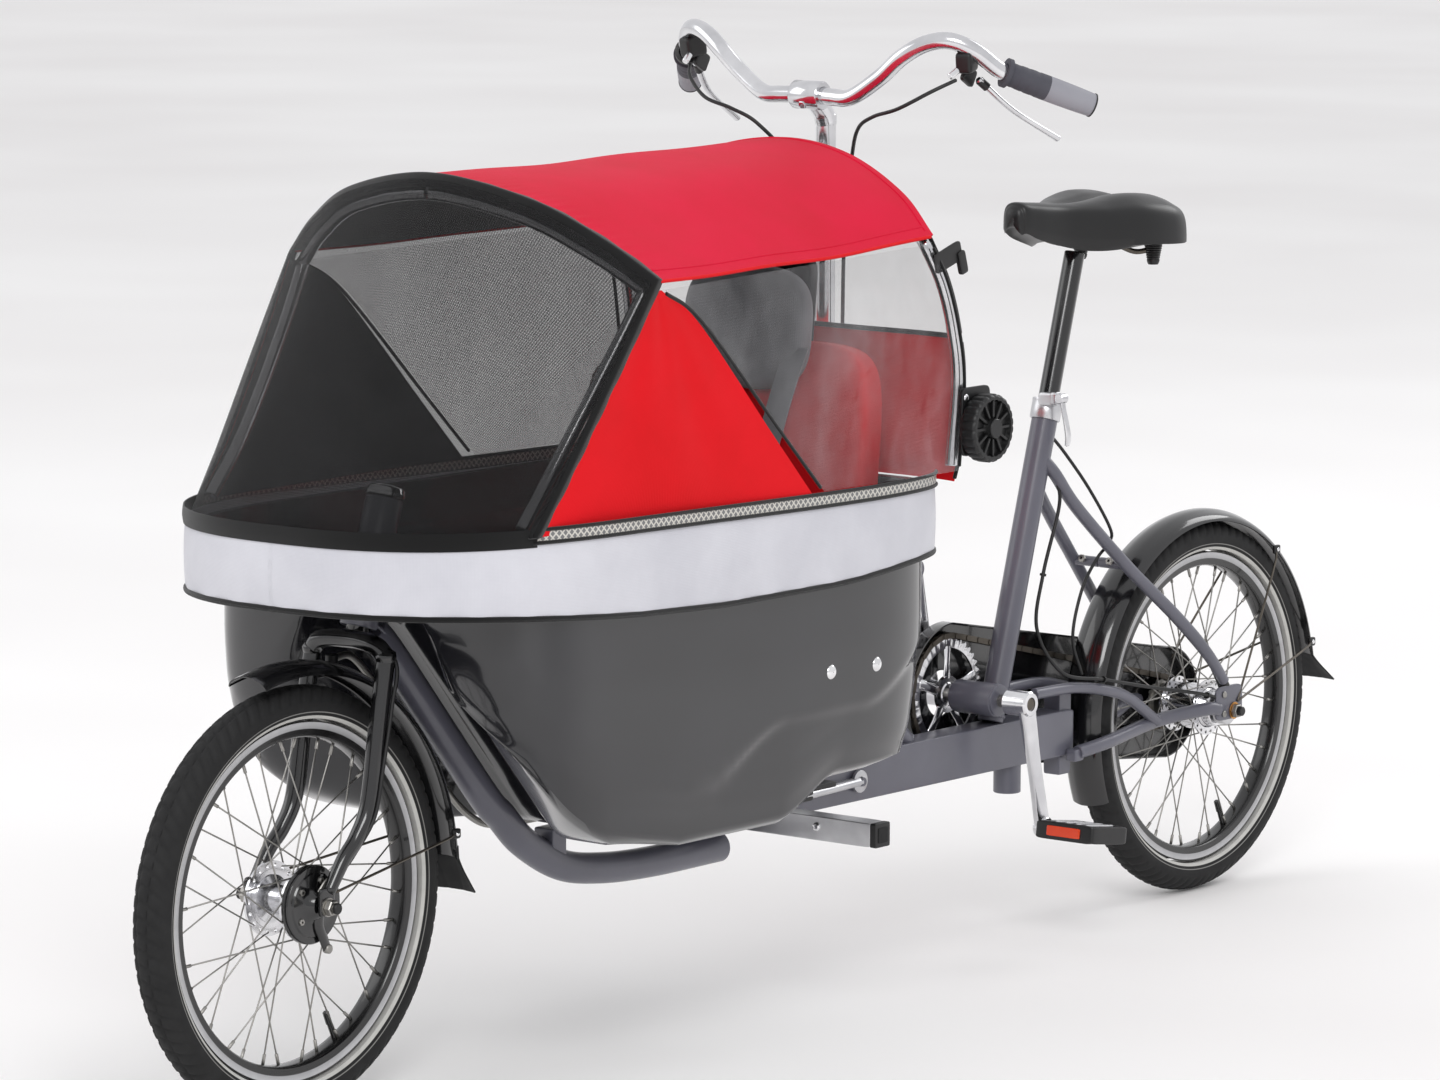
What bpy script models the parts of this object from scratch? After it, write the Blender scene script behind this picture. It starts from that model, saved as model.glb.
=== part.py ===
"""A front-loading cargo bicycle: child tub with canopy, parking stand and rod steering."""

import math

import bmesh
import bpy
from mathutils import Matrix, Vector

# Driving dimensions in millimetres. X is the rider's left, -Y is forward, Z is up.
MM = 0.001
LENGTH_SHIFT = -26.25  # moves the middle of the bicycle's length to Y = 0
AXLE_Y = 907.5  # both wheel axles lie this far from the middle of the wheelbase
WHEEL_R = 250.0
RIM_OUT, RIM_IN = 209.2, 190.0
TYRE_HALF = 23.5
HEAD_TOP = (0.0, -738.0, 700.0)
HEAD_TILT = math.radians(18.0)
COLUMN_Y = 94.0
ARM = (-60.0, 40.0)  # steering arm: sideways and back from either steering axis
FORK_ARM_Z, COLUMN_ARM_Z = 496.0, 291.0
CRANK = (423.0, 320.0)
CRANK_THROW = (37.6, -165.3)
RING_R, SPROCKET_R = 77.0, 34.0
CHAIN_X = -51.0
SEAT_TOP = (0.0, 570.0, 692.0)
SEAT_SLOPE = 0.2986
TUBE_BORE, POST_R = 13.9, 13.6
STAND_PIVOT = (137.0, 252.0)
STAND_BAR = (-98.0, 241.0)
RIM_Z = 662.0
TUB_REAR, TUB_FRONT, NOSE_TIP = 25.0, -780.0, -925.0
GAP = 0.4


def at(x, y, z):
    """Millimetres on the bicycle to metres in the world."""
    return Vector((x, y + LENGTH_SHIFT, z)) * MM


def clear_scene():
    for old in list(bpy.data.objects):
        bpy.data.objects.remove(old, do_unlink=True)


def new_collection(name):
    made = bpy.data.collections.new(name)
    bpy.context.scene.collection.children.link(made)
    return made


clear_scene()
bicycle = new_collection("cargo_bicycle")
helpers = new_collection("helpers")
materials = {}


def material(name, colour, roughness, metallic=0.0, alpha=1.0):
    made = bpy.data.materials.new(name)
    made.use_nodes = True
    shader = made.node_tree.nodes["Principled BSDF"]
    shader.inputs["Base Color"].default_value = (*colour, 1.0)
    shader.inputs["Roughness"].default_value = roughness
    shader.inputs["Metallic"].default_value = metallic
    shader.inputs["Alpha"].default_value = alpha
    made.diffuse_color = (*colour, alpha)
    materials[name] = made


material("frame_paint", (0.095, 0.095, 0.115), 0.35)
material("black_paint", (0.008, 0.008, 0.009), 0.2)
material("black_plastic", (0.012, 0.012, 0.013), 0.45)
material("tub_shell", (0.045, 0.045, 0.052), 0.18)
material("silver_metal", (0.75, 0.75, 0.76), 0.25, 1.0)
material("tyre_rubber", (0.018, 0.018, 0.018), 0.8)
material("rim_black", (0.015, 0.015, 0.016), 0.3)
material("red_fabric", (0.85, 0.0, 0.03), 0.8)
material("light_fabric", (0.68, 0.68, 0.72), 0.7)
material("black_mesh", (0.02, 0.02, 0.02), 0.7, 0.0, 0.5)
material("clear_film", (0.8, 0.8, 0.8), 0.1, 0.0, 0.3)
material("grey_rubber", (0.08, 0.08, 0.09), 0.7)
material("saddle_skin", (0.01, 0.01, 0.011), 0.45)


def keep(obj, name, slot, pivot=None, smooth=True):
    """Names a finished sub-part, gives it its material and sets its origin on its joint's axis."""
    obj.name = name
    obj.data.name = name
    obj.data.materials.clear()
    obj.data.materials.append(materials[slot])
    for used in list(obj.users_collection):
        used.objects.unlink(obj)
    bicycle.objects.link(obj)
    if pivot is not None:
        obj.data.transform(Matrix.Translation(-at(*pivot)))
        obj.location = at(*pivot)
    if smooth and obj.type == "MESH":
        obj.data.shade_smooth()
        obj.data.set_sharp_from_angle(angle=math.radians(35))
    return obj


def hide_helper(obj):
    obj.hide_render = True
    obj.display_type = "WIRE"
    for used in list(obj.users_collection):
        used.objects.unlink(obj)
    helpers.objects.link(obj)
    return obj


def mesh_object(bm, name="shape"):
    data = bpy.data.meshes.new(name)
    bm.to_mesh(data)
    bm.free()
    obj = bpy.data.objects.new(name, data)
    bicycle.objects.link(obj)
    return obj


def rod(start, end, radius, sides=12, end_radius=None):
    """A round bar from one point to another."""
    a, b = at(*start), at(*end)
    turn = (b - a).to_track_quat("Z", "Y").to_matrix().to_4x4()
    place = Matrix.Translation((a + b) / 2) @ turn
    bm = bmesh.new()
    bmesh.ops.create_cone(
        bm,
        cap_ends=True,
        segments=sides,
        radius1=radius * MM,
        radius2=(radius if end_radius is None else end_radius) * MM,
        depth=(b - a).length,
        matrix=place,
    )
    return mesh_object(bm)


def box(centre, size, tilt=0.0):
    """A block, tilted about X."""
    place = Matrix.Translation(at(*centre)) @ Matrix.Rotation(tilt, 4, "X")
    bm = bmesh.new()
    bmesh.ops.create_cube(bm, size=1.0, matrix=place @ Matrix.Diagonal((*[s * MM for s in size], 1)))
    return mesh_object(bm)


def ball(centre, size, segments=12, rings=8):
    bm = bmesh.new()
    place = Matrix.Translation(at(*centre)) @ Matrix.Diagonal((*[s * MM for s in size], 1))
    bmesh.ops.create_uvsphere(bm, u_segments=segments, v_segments=rings, radius=1.0, matrix=place)
    return mesh_object(bm)


def smooth_path(points, per=4):
    """Points along a Catmull-Rom curve through the given points."""
    knots = [Vector(p) for p in points]
    ends = [2 * knots[0] - knots[1], *knots, 2 * knots[-1] - knots[-2]]
    path = []
    for i in range(1, len(ends) - 2):
        a, b, c, d = ends[i - 1 : i + 3]
        for k in range(per):
            t = k / per
            path.append(
                0.5 * (2 * b + (c - a) * t + (2 * a - 5 * b + 4 * c - d) * t * t
                       + (3 * b - a - 3 * c + d) * t**3)
            )
    return [*path, knots[-1]]


def tube(points, radius, resolution=2):
    """A bent tube along the points; resolution 2 gives 8 sides."""
    data = bpy.data.curves.new("tube", "CURVE")
    data.dimensions = "3D"
    data.bevel_depth = radius * MM
    data.bevel_resolution = resolution
    data.use_fill_caps = True
    spline = data.splines.new("POLY")
    spline.points.add(len(points) - 1)
    for point, place in zip(spline.points, points):
        point.co = (*at(*place), 1.0)
    obj = bpy.data.objects.new("tube", data)
    bicycle.objects.link(obj)
    return obj


def solid(curve_object):
    """The curve object as a mesh with its caps welded."""
    bpy.context.view_layer.update()
    graph = bpy.context.evaluated_depsgraph_get()
    data = bpy.data.meshes.new_from_object(curve_object.evaluated_get(graph))
    bm = bmesh.new()
    bm.from_mesh(data)
    bmesh.ops.remove_doubles(bm, verts=bm.verts, dist=1e-6)
    bm.to_mesh(data)
    bm.free()
    obj = bpy.data.objects.new("solid", data)
    bicycle.objects.link(obj)
    bpy.data.objects.remove(curve_object, do_unlink=True)
    return obj


def combine(base, others, operation):
    base = solid(base) if base.type == "CURVE" else base
    for other in others:
        other = solid(other) if other.type == "CURVE" else other
        step = base.modifiers.new(operation.lower(), "BOOLEAN")
        step.operation = operation
        step.object = hide_helper(other)
    return base


def union(base, *others):
    return combine(base, others, "UNION")


def cut(base, *others):
    return combine(base, others, "DIFFERENCE")


def turned(centre, profile, steps=32):
    """A profile of (radius, x) points turned about an axis along X; the loop is closed."""
    bm = bmesh.new()
    corners = [bm.verts.new((r * MM, 0.0, x * MM)) for r, x in profile]
    for a, b in zip(corners, corners[1:] + corners[:1]):
        bm.edges.new((a, b))
    obj = mesh_object(bm)
    obj.rotation_euler = (0.0, math.radians(90), 0.0)
    obj.location = at(*centre)
    screw = obj.modifiers.new("turn", "SCREW")
    screw.steps = steps
    screw.render_steps = steps
    screw.use_merge_vertices = True
    screw.merge_threshold = 1e-5
    screw.use_smooth_shade = True
    return obj


def sheet(rows, thickness, side=0.0, ring=False):
    """A skin over a grid of points, with thickness to one side; a ring closes on itself."""
    bm = bmesh.new()
    grid = [[bm.verts.new(at(*p)) for p in row] for row in rows]
    pairs = list(zip(grid, grid[1:] + grid[:1] if ring else grid[1:]))
    for a, b in pairs:
        for j in range(len(a) - 1):
            bm.faces.new((a[j], b[j], b[j + 1], a[j + 1]))
    obj = mesh_object(bm)
    skin = obj.modifiers.new("skin", "SOLIDIFY")
    skin.thickness = thickness * MM
    skin.offset = side
    return obj


def mirrored(points):
    return [(-p[0], p[1], p[2]) for p in points]


def lerp(a, b, t):
    return Vector(a) * (1 - t) + Vector(b) * t


def ease(t):
    t = min(1.0, max(0.0, t))
    return t * t * (3 - 2 * t)


def along(path, t):
    """The point at share t of a list of points."""
    place = t * (len(path) - 1)
    i = min(int(place), len(path) - 2)
    return lerp(path[i], path[i + 1], place - i)


def head_axis(z):
    """The point of the front steering axis at height z."""
    return Vector((0.0, HEAD_TOP[1] - (HEAD_TOP[2] - z) * math.tan(HEAD_TILT), z))


# Frame

def make_frame():
    top, bottom = head_axis(698), head_axis(553)
    head = cut(rod(bottom, top, 22, 20), rod(head_axis(540), head_axis(710), 15, 16))
    keep(head, "head_tube", "frame_paint")

    bends = [(0, -763, 548), (0, -723, 508), (0, -570, 333), (0, -533, 298), (0, -491, 260),
             (0, -422, 223), (0, -346, 208), (0, -250, 202), (0, -116, 202)]
    down = union(tube(smooth_path(bends, 2), 19, 3), box((0, -440, 246), (30, 26, 52)))
    down = cut(down, rod(head_axis(500), head_axis(710), 22 + GAP, 20))
    keep(down, "down_tube", "frame_paint")

    beam = union(
        box((0, 270, 255), (40, 680, 60)),
        box((0, -125, 272.5), (36, 140, 21)),
        box((0, -172, 250), (36, 44, 60)),
        box((0, 598, 256), (26, 26, 116)),
        rod((0, 487, 188), (0, 487, 240), 18, 14),
        rod((-33, *STAND_PIVOT), (33, *STAND_PIVOT), 6, 12),
    )
    beam = cut(beam, tube([(0, -260, 202), (0, -100, 202)], 19 + GAP, 4))
    keep(beam, "low_beam", "frame_paint")

    shell = cut(rod((-35, *CRANK), (35, *CRANK), 21.5, 20), rod((-50, *CRANK), (50, *CRANK), 9, 12))
    keep(shell, "bottom_bracket_shell", "frame_paint")

    foot = (0, SEAT_TOP[1] - (SEAT_TOP[2] - 286) * SEAT_SLOPE, 286)
    bore_end = (0, SEAT_TOP[1] - 310 * SEAT_SLOPE, SEAT_TOP[2] - 310)
    above = (0, SEAT_TOP[1] + 20 * SEAT_SLOPE, SEAT_TOP[2] + 20)
    seat_tube = cut(
        rod(foot, SEAT_TOP, 17, 16),
        rod(bore_end, above, TUBE_BORE, 16),
        rod((-36, *CRANK), (36, *CRANK), 21.5 + GAP, 20),
        box((0, 450, 276), (60, 80, 18.8)),
    )
    keep(seat_tube, "seat_tube", "frame_paint")


def make_stays():
    dropout_y = AXLE_Y
    for name, side in (("left", 1), ("right", -1)):
        seat_path = [(19 * side, 560, 598), (26 * side, 600, 552), (42 * side, 690, 468),
                     (62 * side, 780, 390), (73 * side, 835, 337), (73 * side, 878, 293)]
        stay = tube(smooth_path(seat_path, 3), 8.5, 2)
        if side > 0:
            stay = union(stay, rod((40, 690, 468), (-30, 690, 468), 7, 10))
        keep(stay, "seat_stay_" + name, "frame_paint")

        low_path = [(32 * side, 600, 229), (38.5 * side, 655, 236), (38 * side, 770, 250),
                    (62 * side, 850, 258), (66 * side, 875, 255)]
        brace = [(29 * side, 505, 318), (32 * side, 590, 316), (40 * side, 650, 306),
                 (41 * side, 700, 290), (43 * side, 765, 250)]
        lower = union(
            tube(smooth_path(low_path, 2), 9, 2),
            tube(smooth_path(brace, 2), 7.5, 2),
            box((66 * side, 898, 262), (5, 62, 46)),
            box((28.7 * side, 598, 226), (16.6, 20, 16)),
        )
        lower = cut(
            lower,
            rod((50 * side, dropout_y, 250), (80 * side, dropout_y, 250), 5 + GAP, 12),
            box((0, 598, 256), (26.8, 26.8, 118)),
            rod((0, 487, 300), (0, 487, 340), 17 + GAP, 16),
        )
        keep(lower, "chain_stay_" + name, "frame_paint")


def make_column_housing():
    housing = union(
        rod((0, COLUMN_Y, 312), (0, COLUMN_Y, 700), 20, 20),
        tube([(0, 108, 430), (0, 250, 296), (0, 262, 285.5)], 14, 3),
    )
    housing = cut(
        housing,
        rod((0, COLUMN_Y, 290), (0, COLUMN_Y, 720), 13, 16),
        box((0, 260, 265), (60, 120, 41)),
    )
    keep(housing, "column_housing", "frame_paint")


# Tub

def outline(turn, half_width, front, rear, nose_power):
    """Plan outline: a superellipse with a rounder nose and a squarer tail."""
    middle = -600.0
    s, c = math.sin(turn), math.cos(turn)
    power = 2 / nose_power if c > 0 else 2 / 9.0
    reach = middle - front if c > 0 else rear - middle
    x = half_width * math.copysign(abs(s) ** power, s)
    y = middle - reach * math.copysign(abs(c) ** power, c)
    return x, y


def underside(x, y):
    """Height of the tub's underside: two lobes beside a tunnel for wheel, down tube and link."""
    lobes = 281 + 43 * ease((y + 300) / 120) + 0.0018 * max(0.0, -500 - y) ** 2
    crest = 556 - 1.12 * max(0.0, y + 735)
    tent = crest - 0.72 * abs(x)
    tunnel = crest + 10 - 2.2 * max(0.0, abs(x) - 74)
    return max(lobes, tent, tunnel)


LOW_HALF = 258.0
LOW_REAR = TUB_REAR - 6
FRONT_X = (0, 40, 76, 92, 125, 165, 205, 240)
SIDE_Y = (-500, -400, -310, -240, -180, -90, -20)
REAR_X = (235, 160, 80, 0)
WALL_STEPS = ((0.0, 1.0), (0.35, 1.0), (0.65, 0.99), (0.86, 0.965), (1.0, 0.91))
FLOOR_STEPS = (0.78, 0.6, 0.45, 0.32, 0.2, 0.08)


def outline_turns():
    """Turns of the outline whose points on the lower wall stand at the chosen places."""
    half = [math.asin((x / LOW_HALF) ** 3) for x in FRONT_X]
    half += [math.acos(((-600 - y) / (-600 - TUB_FRONT)) ** 3) for y in (-690, -605)]
    half += [math.pi - math.acos(((y + 600) / (LOW_REAR + 600)) ** 4.5) for y in SIDE_Y]
    half += [math.pi - math.asin((x / LOW_HALF) ** 4.5) for x in REAR_X]
    return half + [2 * math.pi - turn for turn in half[-2:0:-1]]


def tub_rows(inset):
    rows = []
    for turn in outline_turns():
        top = outline(turn, 268 - inset, NOSE_TIP + inset, TUB_REAR - inset, 2.6)
        low = outline(turn, LOW_HALF - inset, TUB_FRONT + inset, LOW_REAR - inset, 6.0)
        inner = (low[0] * 0.88, -380 + (low[1] + 380) * 0.94)
        edge = underside(*inner) + 8
        row = [(*top, RIM_Z), (*top, 603 + inset)]
        for share, scale in WALL_STEPS:
            z = 578 + inset + (edge - 578) * share
            row.append((low[0] * scale, -380 + (low[1] + 380) * (0.5 + scale / 2), z))
        for scale in FLOOR_STEPS:
            x, y = low[0] * scale, -380 + (low[1] + 380) * scale
            row.append((x, y, underside(x, y) + inset))
        rows.append(row)
    return rows


def make_tub():
    rows = [inside[::-1] + outside for inside, outside in zip(tub_rows(5), tub_rows(0))]
    bm = bmesh.new()
    grid = [[bm.verts.new(at(*p)) for p in row] for row in rows]
    for a, b in zip(grid, grid[1:] + grid[:1]):
        for j in range(len(a) - 1):
            bm.faces.new((a[j], b[j], b[j + 1], a[j + 1]))
    bm.faces.new([row[-1] for row in grid])
    bm.faces.new([row[0] for row in grid])
    bmesh.ops.recalc_face_normals(bm, faces=bm.faces)
    tub = mesh_object(bm)
    tub = cut(tub, rod(head_axis(500), head_axis(640), 26, 24))
    keep(tub, "tub", "tub_shell")


def make_skirt():
    rows = []
    for turn in outline_turns():
        top = outline(turn, 271.5, NOSE_TIP - 4, TUB_REAR + 4, 2.6)
        lower_edge = 590 - 24 * ease((top[1] + 930) / 500) + 14 * ease((top[1] + 250) / 270)
        upper_edge = 672 - 10 * ease((top[1] + 780) / 700)
        rows.append([(*top, upper_edge), (*top, lower_edge)])
    keep(sheet(rows, 2.5, 0.0, ring=True), "skirt", "light_fabric")


# Canopy

HOOP_LEG = [(257, -776, 678), (260, -717, 753), (271, -632, 880), (279, -585, 956)]
HOOP_TOP = [(279, -585, 956), (218, -613, 1001), (133, -641, 1043), (0, -657, 1066)]
REAR_LEG = [(270, 16, 678), (270, 28, 783), (268, 20, 851), (262, 4, 912), (245, -12, 965)]
REAR_TOP = [(245, -12, 965), (190, 0, 1012), (99, 14, 1053), (0, 20, 1068)]
DIVIDE = [(276, -573, 944), (275, -497, 901), (273, -346, 759), (272, -262, 680)]


def shrunk(points, by):
    """The same points moved in towards the middle of the canopy."""
    moved = []
    for p in points:
        inward = Vector((0, p[1], 760)) - Vector(p)
        moved.append(Vector(p) + inward.normalized() * by)
    return moved


def arch(leg, top, by=0.0):
    """A whole hoop from the left rim over to the right rim."""
    half = smooth_path(leg, 2)[:-1] + smooth_path(top, 3)
    half = shrunk(half, by)
    return half + mirrored(reversed(half[:-1]))


def make_canopy():
    front = arch(HOOP_LEG, HOOP_TOP, 21)
    rear = arch(REAR_LEG, REAR_TOP, 16)
    keep(tube(front, 8, 1), "front_hoop", "silver_metal")
    keep(tube(rear, 8, 1), "rear_hoop", "silver_metal")

    fore, aft = smooth_path(HOOP_TOP, 3), smooth_path(REAR_TOP, 3)
    fore = fore + mirrored(reversed(fore[:-1]))
    aft = aft + mirrored(reversed(aft[:-1]))
    count = len(fore) - 1
    rows = [[lerp(along(fore, i / count), along(aft, i / count), j / 4) for j in range(5)]
            for i in range(count + 1)]
    keep(sheet(rows, 2.0), "canopy_roof", "red_fabric")

    for name, side in (("left", 1), ("right", -1)):
        leg, divide, back = smooth_path(HOOP_LEG, 3), smooth_path(DIVIDE, 3), smooth_path(REAR_LEG, 3)
        red, film = [], []
        for i in range(9):
            t = i / 8 * 0.965
            a = along(leg, t)
            b = along(divide, 1 - i / 8)
            c = along(back, t)
            red.append([lerp(a, b, j / 3 * 0.95 + 0.008) for j in range(4)])
            film.append([lerp(b, c, 0.012 + j / 3 * 0.97) for j in range(4)])
        flip = (lambda row: [(side * p[0], p[1], p[2]) for p in row])
        keep(sheet([flip(row) for row in red], 1.6), "side_panel_" + name, "red_fabric")
        keep(sheet([flip(row) for row in film], 1.2), "side_window_" + name, "clear_film")

    whole = arch(HOOP_LEG, HOOP_TOP)
    rows = []
    count = len(whole) - 1
    for i, p in enumerate(whole):
        share = i / count
        turn = math.radians(62) * math.copysign(abs(1 - 2 * share) ** 0.9, 1 - 2 * share)
        nose = outline(turn, 266, NOSE_TIP + 3, TUB_REAR, 2.6)
        foot = Vector((*nose, 676))
        rows.append([lerp(Vector(p) + Vector((0, -5, 0)), foot, j / 3 * 0.99 + 0.01) for j in range(4)])
    keep(sheet(rows, 1.6), "front_screen", "black_mesh")

    rear_arch = arch(REAR_LEG, REAR_TOP, 5)
    rows = []
    for i, p in enumerate(rear_arch[: len(rear_arch) // 2 + 1]):
        q = rear_arch[len(rear_arch) - 1 - i]
        rows.append([lerp(Vector(p) + Vector((0, 16, 0)), Vector(q) + Vector((0, 16, 0)), 0.01 + j / 2 * 0.98)
                     for j in range(3)])
    keep(sheet(rows[:-1], 1.4), "rear_panel", "light_fabric")

    for name, side in (("left", 1), ("right", -1)):
        knob = union(
            rod((281 * side, 38, 730), (303 * side, 38, 730), 42, 24),
            rod((300 * side, 38, 730), (307 * side, 38, 730), 12, 12),
        )
        keep(knob, "canopy_knob_" + name, "black_plastic", (290 * side, 38, 730))


def make_bench():
    bench = union(
        box((0, -200, 395), (380, 300, 60)),
        box((0, -55, 580), (360, 60, 420), math.radians(-6)),
        rod((0, -75, 820), (0, -30, 820), 92, 24),
    )
    keep(bench, "bench_seat", "red_fabric")


# Front end

def make_fork():
    top, crown = head_axis(712), head_axis(540)
    parts = [
        rod(head_axis(535), top, 14, 16),
        rod(head_axis(700), head_axis(713), 24, 16, 15),
        tube(smooth_path([(-58, -801, 520), (-40, -803, 540), (0, -800, 540),
                          (40, -803, 540), (58, -801, 520)], 2), 11, 2),
        box((-64, -776, FORK_ARM_Z - 4), (20, 56, 8)),
    ]
    for side in (1, -1):
        blade = [(56 * side, -801, 524), (57 * side, -818, 442), (57 * side, -833, 359),
                 (57 * side, -878, 300), (57 * side, -903, 266)]
        parts.append(tube(smooth_path(blade, 2), 11, 2))
        parts.append(box((57 * side, -AXLE_Y, 256), (6, 26, 34)))
    fork = union(parts[0], *parts[1:])
    fork = cut(fork, rod((-90, -AXLE_Y, 250), (90, -AXLE_Y, 250), 5 + GAP, 12))
    keep(fork, "fork", "black_paint", HEAD_TOP)


def guard_rows(centre_y, radius, first, last, steps, half_width, crown):
    """A mudguard skin: an arc about the axle with a curved cross-section."""
    rows = []
    for i in range(steps + 1):
        angle = math.radians(first + (last - first) * i / steps)
        row = []
        for j in range(5):
            u = -1 + j / 2
            r = radius - crown * u * u
            row.append((half_width * u, centre_y + r * math.cos(angle), 250 + r * math.sin(angle)))
        rows.append(row)
    return rows


def flap_row(y, z):
    """The lower edge of the rubber flap that flares from a mudguard's end."""
    return [(34 * (-1 + j / 2), y - 5 * (-1 + j / 2) ** 2, z) for j in range(5)]


def make_mudguards():
    front = [*guard_rows(-AXLE_Y, 278, 105, 3, 12, 29, 14), flap_row(-612, 222)]
    rear = [*guard_rows(AXLE_Y, 266, 203, 9, 20, 29, 14), flap_row(1209, 253)]
    keep(sheet(front, 2.0), "front_mudguard", "black_paint", HEAD_TOP)
    keep(sheet(rear, 2.0), "rear_mudguard", "black_paint")


def make_wheel(place, centre_y):
    centre = (0, centre_y, 250)
    bead = RIM_OUT + GAP
    tyre = [(bead, -10)]
    for k in range(7):
        angle = math.radians(-125 + 250 * k / 6)
        tyre.append((226.5 + TYRE_HALF * math.cos(angle), TYRE_HALF * math.sin(angle)))
    tyre.append((bead, 10))
    tyre = [(max(r, bead), x) for r, x in tyre]
    keep(turned(centre, tyre[::-1], 32), place + "_tyre", "tyre_rubber")
    rim = [(RIM_OUT, -12.5), (RIM_OUT, 12.5), (RIM_IN + 6, 12.5), (RIM_IN, 5), (RIM_IN, -5),
           (RIM_IN + 6, -12.5)]
    keep(turned(centre, rim[::-1], 32), place + "_rim", "rim_black")


def make_spokes(place, centre_y, flange_x, flange_r):
    """Thirty-six spokes, ending in one thin ring of nipples under the rim."""
    ring = turned((0, centre_y, 250), [(188.5, -3.5), (188.5, 3.5), (186, 3.5), (186, -3.5)], 24)
    bm = bmesh.new()
    for k in range(36):
        angle = 2 * math.pi * (k + 0.5) / 36
        side = 1 if k % 2 else -1
        inner = Vector((side * flange_x, centre_y + flange_r * math.cos(angle),
                        250 + flange_r * math.sin(angle)))
        outer = Vector((0, centre_y + 187.4 * math.cos(angle), 250 + 187.4 * math.sin(angle)))
        a, b = at(*inner), at(*outer)
        turn = (b - a).to_track_quat("Z", "Y").to_matrix().to_4x4()
        bmesh.ops.create_cone(bm, cap_ends=True, segments=3, radius1=1.3 * MM, radius2=1.3 * MM,
                              depth=(b - a).length, matrix=Matrix.Translation((a + b) / 2) @ turn)
    spokes = union(ring, mesh_object(bm))
    keep(spokes, place + "_spokes", "silver_metal")


def make_hubs():
    bore = 5 + GAP
    front = [(bore, -48), (14, -48), (14, -32), (43, -30), (43, -26), (17, -22), (17, 4),
             (44, 8), (44, 28), (bore, 28)]
    keep(turned((0, -AXLE_Y, 250), front[::-1], 20), "front_hub", "silver_metal")
    make_spokes("front", -AXLE_Y, 20, 46)
    axle = union(
        rod((-76, -AXLE_Y, 250), (76, -AXLE_Y, 250), 5, 12),
        rod((61, -AXLE_Y, 250), (70, -AXLE_Y, 250), 10, 6),
        rod((-61, -AXLE_Y, 250), (-70, -AXLE_Y, 250), 10, 6),
        rod((29, -AXLE_Y, 250), (38, -AXLE_Y, 250), 46, 24),
        rod((38, -AXLE_Y, 250), (50, -AXLE_Y, 250), 13, 12),
        box((39.5, -897, 209), (7, 16, 60), math.radians(12)),
    )
    keep(axle, "front_brake_plate", "silver_metal", HEAD_TOP)

    rear = [(bore, -36), (24, -36), (24, -30), (34, -28), (34, -24), (30, -22), (30, 22),
            (36, 25), (36, 29), (24, 31), (24, 44), (bore, 44)]
    keep(turned((0, AXLE_Y, 250), rear[::-1], 20), "rear_hub", "silver_metal")
    make_spokes("rear", AXLE_Y, 26, 37)
    axle = union(
        rod((-82, AXLE_Y, 250), (82, AXLE_Y, 250), 5, 12),
        rod((69.5, AXLE_Y, 250), (78, AXLE_Y, 250), 10, 6),
        rod((-69.5, AXLE_Y, 250), (-78, AXLE_Y, 250), 10, 6),
        rod((46, AXLE_Y, 250), (61, AXLE_Y, 250), 20, 16),
    )
    keep(axle, "rear_axle", "silver_metal")


# Drive

def toothed(centre, radius, teeth, depth, width, bore):
    """A chain wheel with pointed teeth on an axis along X."""
    bm = bmesh.new()
    for x in (-width / 2, width / 2):
        outer = []
        for k in range(teeth * 2):
            angle = math.pi * k / teeth
            r = radius + (depth / 2 if k % 2 else -depth / 2)
            outer.append(bm.verts.new(at(centre[0] + x, centre[1] + r * math.cos(angle),
                                         centre[2] + r * math.sin(angle))))
        bm.faces.new(outer if x > 0 else outer[::-1])
    bm.verts.ensure_lookup_table()
    count = teeth * 2
    for k in range(count):
        n = (k + 1) % count
        bm.faces.new((bm.verts[k], bm.verts[n], bm.verts[count + n], bm.verts[count + k]))
    bmesh.ops.recalc_face_normals(bm, faces=bm.faces)
    wheel = mesh_object(bm)
    return cut(wheel, rod((centre[0] - 20, *centre[1:]), (centre[0] + 20, *centre[1:]), bore, 20))


def belt(front_r, rear_r, steps=10):
    """Points of a loop round the crank centre and the rear axle, at the given radii."""
    span = math.hypot(AXLE_Y - CRANK[0], 250 - CRANK[1])
    heading = math.atan2(250 - CRANK[1], AXLE_Y - CRANK[0])
    lean = math.acos((front_r - rear_r) / span)
    loop = []
    for i in range(steps + 1):
        angle = heading + lean + (2 * math.pi - 2 * lean) * i / steps
        loop.append((CRANK[0] + front_r * math.cos(angle), CRANK[1] + front_r * math.sin(angle)))
    for i in range(steps + 1):
        angle = heading - lean + 2 * lean * i / steps
        loop.append((AXLE_Y + rear_r * math.cos(angle), 250 + rear_r * math.sin(angle)))
    return loop


def plate(loop, x_from, x_to):
    bm = bmesh.new()
    near = [bm.verts.new(at(x_from, *p)) for p in loop]
    far = [bm.verts.new(at(x_to, *p)) for p in loop]
    bm.faces.new(near)
    bm.faces.new(far[::-1])
    for i in range(len(loop)):
        n = (i + 1) % len(loop)
        bm.faces.new((near[i], near[n], far[n], far[i]))
    bmesh.ops.recalc_face_normals(bm, faces=bm.faces)
    return mesh_object(bm)


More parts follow.
